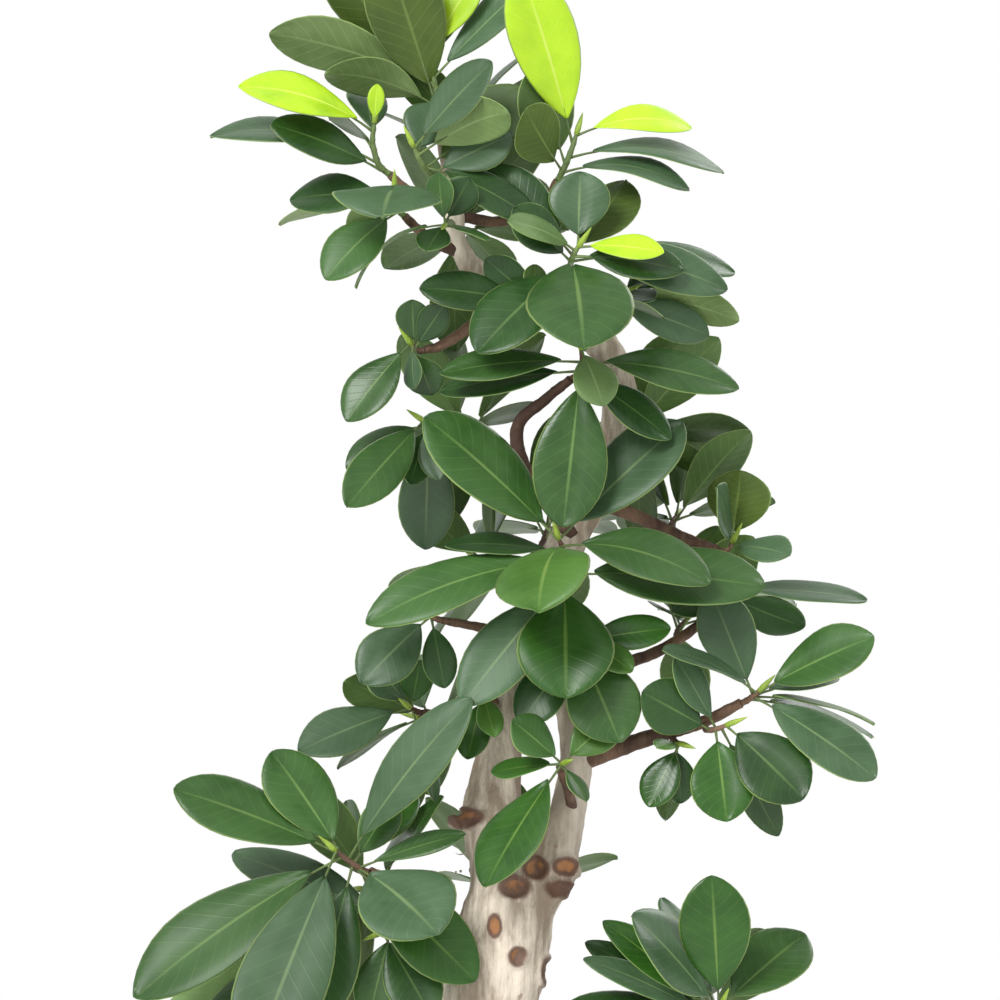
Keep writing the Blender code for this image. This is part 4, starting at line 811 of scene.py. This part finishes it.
def fine_leaf(skin, leaf, upper, under, stalk, rng):
    """One leaf: a blade with two sides that meet in a sharp margin, and its petiole."""
    wave = rng.uniform(0, 6.28)
    shade = rng.uniform(*LEAF_SHADES)
    columns = range(-LEAF_HALF_COLUMNS, LEAF_HALF_COLUMNS + 1)
    grid = {1: [], -1: []}
    for row in range(LEAF_ROWS + 1):
        share = 0.5 - 0.5 * math.cos(math.pi * row / LEAF_ROWS)
        along = PETIOLE_SHARE + (1 - PETIOLE_SHARE) * share
        wide = fine_width(share) if 0 < row < LEAF_ROWS else 0
        rows = {1: [], -1: []}
        for column in columns:
            across = math.sin(RIGHT_ANGLE * column / LEAF_HALF_COLUMNS)
            rise = blade_height(leaf, across, share, wave)
            rise -= LEAF_FOLD * leaf.half * wide * abs(across)
            for side in (1, -1):
                rim = abs(column) == LEAF_HALF_COLUMNS or row in (0, LEAF_ROWS)
                if side == -1 and rim or wide == 0 and column > columns[0]:
                    rows[side].append(rows[1][-1] if side == -1 else rows[1][0])
                    continue
                rib = RIB_DEPTH[side] if column == 0 else 0
                lift = side * FINE_THICKNESS / 2 * (0 if rim else 1) - rib
                place = leaf.at(along, wide * across, rise + lift)
                rows[side].append(skin.point(place, share, across, shade))
        for side in (1, -1):
            grid[side].append(rows[side])
    for side, number in ((1, upper), (-1, under)):
        for low, high in zip(grid[side], grid[side][1:]):
            for i in range(len(low) - 1):
                corners = [low[i], low[i + 1], high[i + 1], high[i]]
                skin.face(corners[::-1] if side == 1 else corners, number)
    petiole(skin, leaf, stalk, shade)


def petiole(skin, leaf, number, shade):
    """The tapering stalk from inside the stem to inside the blade."""
    rings = []
    for along, radius in PETIOLE_RINGS:
        middle = leaf.at(along, 0, -0.02)
        turns = [math.tau * i / PETIOLE_SIDES for i in range(PETIOLE_SIDES)]
        ring = [middle + (leaf.side * math.cos(t) + leaf.upper * math.sin(t)) * radius for t in turns]
        rings.append([skin.point(point, 0.5, 0.5, shade) for point in ring])
    for low, high in zip(rings, rings[1:]):
        for i in range(PETIOLE_SIDES):
            j = (i + 1) % PETIOLE_SIDES
            skin.face([low[j], low[i], high[i], high[j]], number)
    skin.face(rings[-1][::-1], number)


def shoot_leaves(name, path, leaves):
    """Each leaf of a shoot that finds room, with its tone: the rule that part.py follows too."""
    shoot = tube(name + "_guide", path, 1)
    stem = bmesh.new()
    stem.from_mesh(shoot.data)
    stem_length = sum((b.xyz - a.xyz).length for a, b in zip(path, path[1:]))
    lowest = FIRST_LEAF / stem_length
    free_faces = [face for face in stem.faces if len(face.verts) == 4]
    own_stem = Placed()
    own_stem.add_object(name, shoot)
    siblings = Placed()
    grown = []
    for share, x, y, z, width, upper, arch, tone in leaves:
        share = lowest + (HIGHEST_LEAF - lowest) * share
        faces = faces_by_fit(free_faces, path, share, Vector((x, y, z)))
        found = place_leaf(name, faces, siblings, own_stem, (x, y, z), (width, upper, arch))
        if found:
            grown.append((found[1], tone))
            free_faces.remove(found[0])
    stem.free()
    bpy.data.objects.remove(shoot)
    return grown


def fine_shoot(name, path, leaves, rng):
    """The fine leaves of a shoot and its stem, which together stand for its node."""
    grown = shoot_leaves(name, path, leaves)
    tones = sorted({tone for _, tone in grown})
    skin = Skin()
    for leaf, tone in grown:
        number = tones.index(tone) * 2
        fine_leaf(skin, leaf, number, number + 1, 2 * len(tones), rng)
    skins = [material[tone] for tone in tones for material in (upper_skin, under_skin)]
    dress(skin.made(name + "_leaves"), name, "leafy_shoot", *skins, stalk_skin)
    knots = []
    for index, point in enumerate(smooth_path(path, 3)):
        knots.append(Vector((*point.xyz, point.w * (1.12 if index % 4 == 0 else 0.98))))
    young = "y" in tones or "crown" in name
    heading = (path[-1].xyz - path[-2].xyz).normalized()
    bud = [Vector((*(path[-1].xyz + heading * BUD_LENGTH * t), r)) for t, r in BUD_PROFILE]
    dress(tube(name + "_bud", bud, 3), name, "leafy_shoot", bud_skin)
    dress(tube(name + "_stem", knots, 4), name, "leafy_shoot", stalk_skin if young else twig_skin)


# ---------------------------------------------------------------- fine wood
def roughen(made, depth, spacing, stretch):
    """Moves a mesh's points along their normals by noise drawn out along Z."""
    moves = []
    for point in made.data.vertices:
        place = Vector((point.co.x, point.co.y, point.co.z * stretch)) / (spacing * CM)
        moves.append(point.normal * depth * CM * noise.fractal(place, 0.9, 2.1, 4))
    for point, move in zip(made.data.vertices, moves):
        point.co += move


def gnarl(made, depth, spacing):
    """The CAD trunk's own swellings, which fade upwards."""
    moves = []
    for point in made.data.vertices:
        fade = max(0, 1 - point.co.z / (GNARLED_UP_TO * CM))
        moves.append(point.normal * depth * fade * noise.noise(point.co / spacing))
    for point, move in zip(made.data.vertices, moves):
        point.co += move


FINE_PATHS = [smooth_path(TRUNK, 8), smooth_path(LIMB, 8)]


def bark_front(x, z):
    """The point on the front of the trunk or limb at a place seen from the front."""
    near = []
    for path in FINE_PATHS:
        best = min(path, key=lambda point: abs(point.z - z) + abs(point.x - x))
        if abs(best.x - x) < best.w:
            near.append(best.y - math.sqrt(best.w**2 - (best.x - x) ** 2))
    return Vector((x, min(near, default=0), z))


def mark_scars(wood):
    """Raises the lips of the scars, sinks their middles and notes them for the bark's colour."""
    scars = [(bark_front(x, z), wide, high) for x, z, wide, high in SCARS]
    marks = wood.data.color_attributes.new("scar", "FLOAT_COLOR", "POINT")
    moves = []
    for point, mark in zip(wood.data.vertices, marks.data):
        share = 0
        for middle, wide, high in scars:
            away = point.co / CM - middle
            share = max(share, 2 - 2 * math.hypot(away.x / wide, away.y * 0.6, away.z / high))
        share = min(1, share)
        mark.color = (share, share, share, 1)
        lip = SCAR_LIP * math.sin(math.pi * share) - SCAR_HOLLOW * max(0, share - 0.7)
        moves.append(point.normal * lip * CM)
    for point, move in zip(wood.data.vertices, moves):
        point.co += move


def stub_path(x, z, to_x, to_z, thick):
    """A dead stub that sticks out of the front of the bark."""
    foot = bark_front(x, z)
    tip = bark_front(to_x, to_z) + Vector((0, -2.4 * thick, 0))
    return [Vector((*foot.lerp(tip, share), thick * (1 - 0.35 * share))) for share in (0, 0.5, 0.8, 1)]


def fine_trunk():
    """Trunk, limb and roots fused, smoothed where they meet, and roughened into bark."""
    shape = bmesh.new()
    trunk = tube("trunk_guide", smooth_path(TRUNK, 8), 10)
    gnarl(trunk, SWELLING * CM, SWELLING_SPACING * CM)
    guides = [trunk, tube("limb_guide", smooth_path(LIMB, 8), 8)]
    guides += [tube("stub_guide", stub_path(*stub), 3) for stub in STUBS]
    guides += [tube("root_guide", smooth_path(root_path(*root), 6), 6) for root in ROOTS]
    for guide in guides:
        shape.from_mesh(guide.data)
        bpy.data.objects.remove(guide)
    mesh = bpy.data.meshes.new("trunk_wood")
    shape.to_mesh(mesh)
    shape.free()
    wood = mesh_object("trunk_wood", mesh)
    fuse = wood.modifiers.new("fuse", "REMESH")
    fuse.mode = "VOXEL"
    fuse.voxel_size = BARK_VOXEL * CM
    soften = wood.modifiers.new("soften", "SMOOTH")
    soften.factor = 0.5
    soften.iterations = 6
    fused = evaluated_mesh(wood)
    wood.modifiers.clear()
    wood.data = fused
    roughen(wood, *BARK_LUMPS)
    roughen(wood, *BARK_CRACKS)
    mark_scars(wood)
    return dress(wood, "trunk", "bark", bark_skin)


def fine_branch(name):
    wood = tube(name + "_wood", smooth_path(BRANCHES[name], 14), 6)
    roughen(wood, *TWIG_LUMPS)
    return dress(wood, name, "twig_bark", twig_skin)


# ---------------------------------------------------------------- fine pot and soil
def fine_pot():
    band_foot = RIM_TOP - RIM_HEIGHT
    heights = [band_foot * step / 24 for step in range(25)]
    foot = [(FOOT_RADIUS + 0.02, 0.14), (FOOT_RADIUS - 0.12, 0.0)]
    inside = [(bowl_radius(z) - WALL, max(z, FLOOR)) for z in heights[3:]]
    outside = [(bowl_radius(z), z) for z in reversed(heights[1:])]
    rim = [
        (RIM_RADIUS - WALL, band_foot + 0.3), (RIM_RADIUS - WALL, RIM_TOP - 0.22),
        (RIM_RADIUS - WALL + 0.07, RIM_TOP - 0.07), (RIM_RADIUS - WALL + 0.22, RIM_TOP),
        (RIM_RADIUS - 0.26, RIM_TOP), (RIM_RADIUS - 0.08, RIM_TOP - 0.08), (RIM_RADIUS, RIM_TOP - 0.26),
        (RIM_RADIUS, band_foot + 0.2), (RIM_RADIUS - 0.05, band_foot + 0.06), (RIM_RADIUS - 0.16, band_foot)]
    profile = [(0, FLOOR), *inside, *rim, *outside, *foot, (0, 0)]
    mesh = bpy.data.meshes.new("pot_clay")
    points = [(radius * CM, 0, z * CM) for radius, z in profile]
    mesh.from_pydata(points, [(i, i + 1) for i in range(len(points) - 1)], [])
    pot = mesh_object("pot_clay", mesh)
    screw = pot.modifiers.new("turn", "SCREW")
    screw.steps = FINE_POT_STEPS
    screw.render_steps = FINE_POT_STEPS
    screw.use_merge_vertices = True
    screw.merge_threshold = 0.00001
    turned = evaluated_mesh(pot)
    pot.modifiers.clear()
    pot.data = turned
    dress(pot, "pot", "stoneware", clay_skin)
    pot.data.set_sharp_from_angle(angle=math.radians(50))
    return pot


def soil_height(x, y):
    reach = bowl_radius(SOIL_TOP) - WALL - GAP
    return SOIL_TOP + SOIL_MOUND * (1 - min(1, math.hypot(x, y) / reach) ** 2)


def soil_crumbs(rng):
    """Loose crumbs of potting mix that cover the soil's top."""
    ball = bmesh.new()
    bmesh.ops.create_icosphere(ball, subdivisions=1, radius=1)
    corners = [vert.co.copy() for vert in ball.verts]
    sides = [[vert.index for vert in face.verts] for face in ball.faces]
    ball.free()
    points = []
    faces = []
    for _ in range(CRUMBS):
        turn = rng.uniform(0, math.tau)
        reach = CRUMB_REACH * math.sqrt(rng.random())
        size = rng.uniform(*CRUMB_SIZES)
        x, y = reach * math.cos(turn), reach * math.sin(turn)
        spin = Matrix.Rotation(rng.uniform(0, math.tau), 3, Vector((rng.random(), rng.random(), 1)))
        scale = Matrix.Diagonal((size, size * rng.uniform(0.6, 1), size * rng.uniform(0.5, 0.9)))
        start = len(points)
        middle = Vector((x, y, soil_height(x, y) + size * 0.15))
        points += [(middle + spin @ (scale @ corner) * rng.uniform(0.9, 1.1)) * CM for corner in corners]
        faces += [[start + i for i in side] for side in sides]
    mesh = bpy.data.meshes.new("soil_crumbs")
    mesh.from_pydata(points, [], faces)
    dress(mesh_object("soil_crumbs", mesh), None, "soil", earth_skin)


# ---------------------------------------------------------------- the object
WOOD = {"trunk": nodes["trunk"], "limb": nodes["trunk"]}
WOOD.update({name: nodes[name] for name in BRANCHES})
PATHS = {"trunk": smooth_path(TRUNK, 3), "limb": smooth_path(LIMB, 3)}
PATHS.update({name: smooth_path(points, 3) for name, points in BRANCHES.items()})
placed = Placed()
placed.add_object("trunk", nodes["trunk"])
for name in BRANCHES:
    placed.add_object(name, nodes[name])

shoots = {}
for name, (bearer, share, end, leaves) in SHOOTS.items():
    named = [(*leaf[:5], facing(leaf[5]), *leaf[6:]) for leaf in leaves]
    shoots[name] = (shoot_path(name, bearer, share, end), named)
for name, (bearer, share, end, count, length) in FILLED.items():
    path = shoot_path(name, bearer, share, end)
    shoots[name] = (path, spiral_leaves(path, count, length))
for name, (path, _) in shoots.items():
    room = tube(name + "_room", path, 1, CLEARANCE)
    placed.add_object(name, room)
    bpy.data.objects.remove(room)

rng = random.Random(7)
for name, (path, leaves) in shoots.items():
    fine_shoot(name, path, leaves, rng)
fine_trunk()
for name in BRANCHES:
    fine_branch(name)
fine_pot()
nodes["soil"].data.materials.clear()
nodes["soil"].data.materials.append(earth_skin)
soil_crumbs(rng)

# ---------------------------------------------------------------- floor, light and camera
VIEW_HEIGHT = 0.44
VIEW_WIDTH = 0.40
VIEW_DISTANCE = 2.2
FLOOR_RADIUS = 1.5

bpy.ops.mesh.primitive_circle_add(vertices=96, radius=FLOOR_RADIUS, fill_type="NGON")
floor = bpy.context.object
floor.name = "floor"
floor_material, _, floor_shader = new_material("pale_floor")
floor_shader.inputs["Base Color"].default_value = rgb(0.86, 0.86, 0.86)
floor_shader.inputs["Roughness"].default_value = 0.9
floor.data.materials.append(floor_material)

world = bpy.context.scene.world or bpy.data.worlds.new("studio")
bpy.context.scene.world = world
world.use_nodes = True
world.node_tree.nodes["Background"].inputs["Color"].default_value = rgb(1, 1, 1)
world.node_tree.nodes["Background"].inputs["Strength"].default_value = 1.0


def soft_light(name, place, size, power):
    light = bpy.data.lights.new(name, "AREA")
    light.size = size
    light.energy = power
    lamp = bpy.data.objects.new(name, light)
    lamp.location = place
    lamp.rotation_euler = (Vector((0, 0, VIEW_HEIGHT)) - Vector(place)).to_track_quat("-Z", "Y").to_euler()
    bpy.context.scene.collection.objects.link(lamp)


soft_light("key", (-1.1, -1.9, 2.1), 1.0, 60)
soft_light("rim", (1.4, 1.6, 1.9), 1.2, 18)

camera = bpy.data.objects.new("camera", bpy.data.cameras.new("camera"))
camera.location = (0, -VIEW_DISTANCE, VIEW_HEIGHT)
camera.rotation_euler = (RIGHT_ANGLE, 0, 0)
camera.data.sensor_width = 36
camera.data.lens = 36 * VIEW_DISTANCE / VIEW_WIDTH
camera.data.dof.use_dof = False
bpy.context.scene.collection.objects.link(camera)
bpy.context.scene.camera = camera
bpy.context.scene.view_settings.view_transform = "Standard"
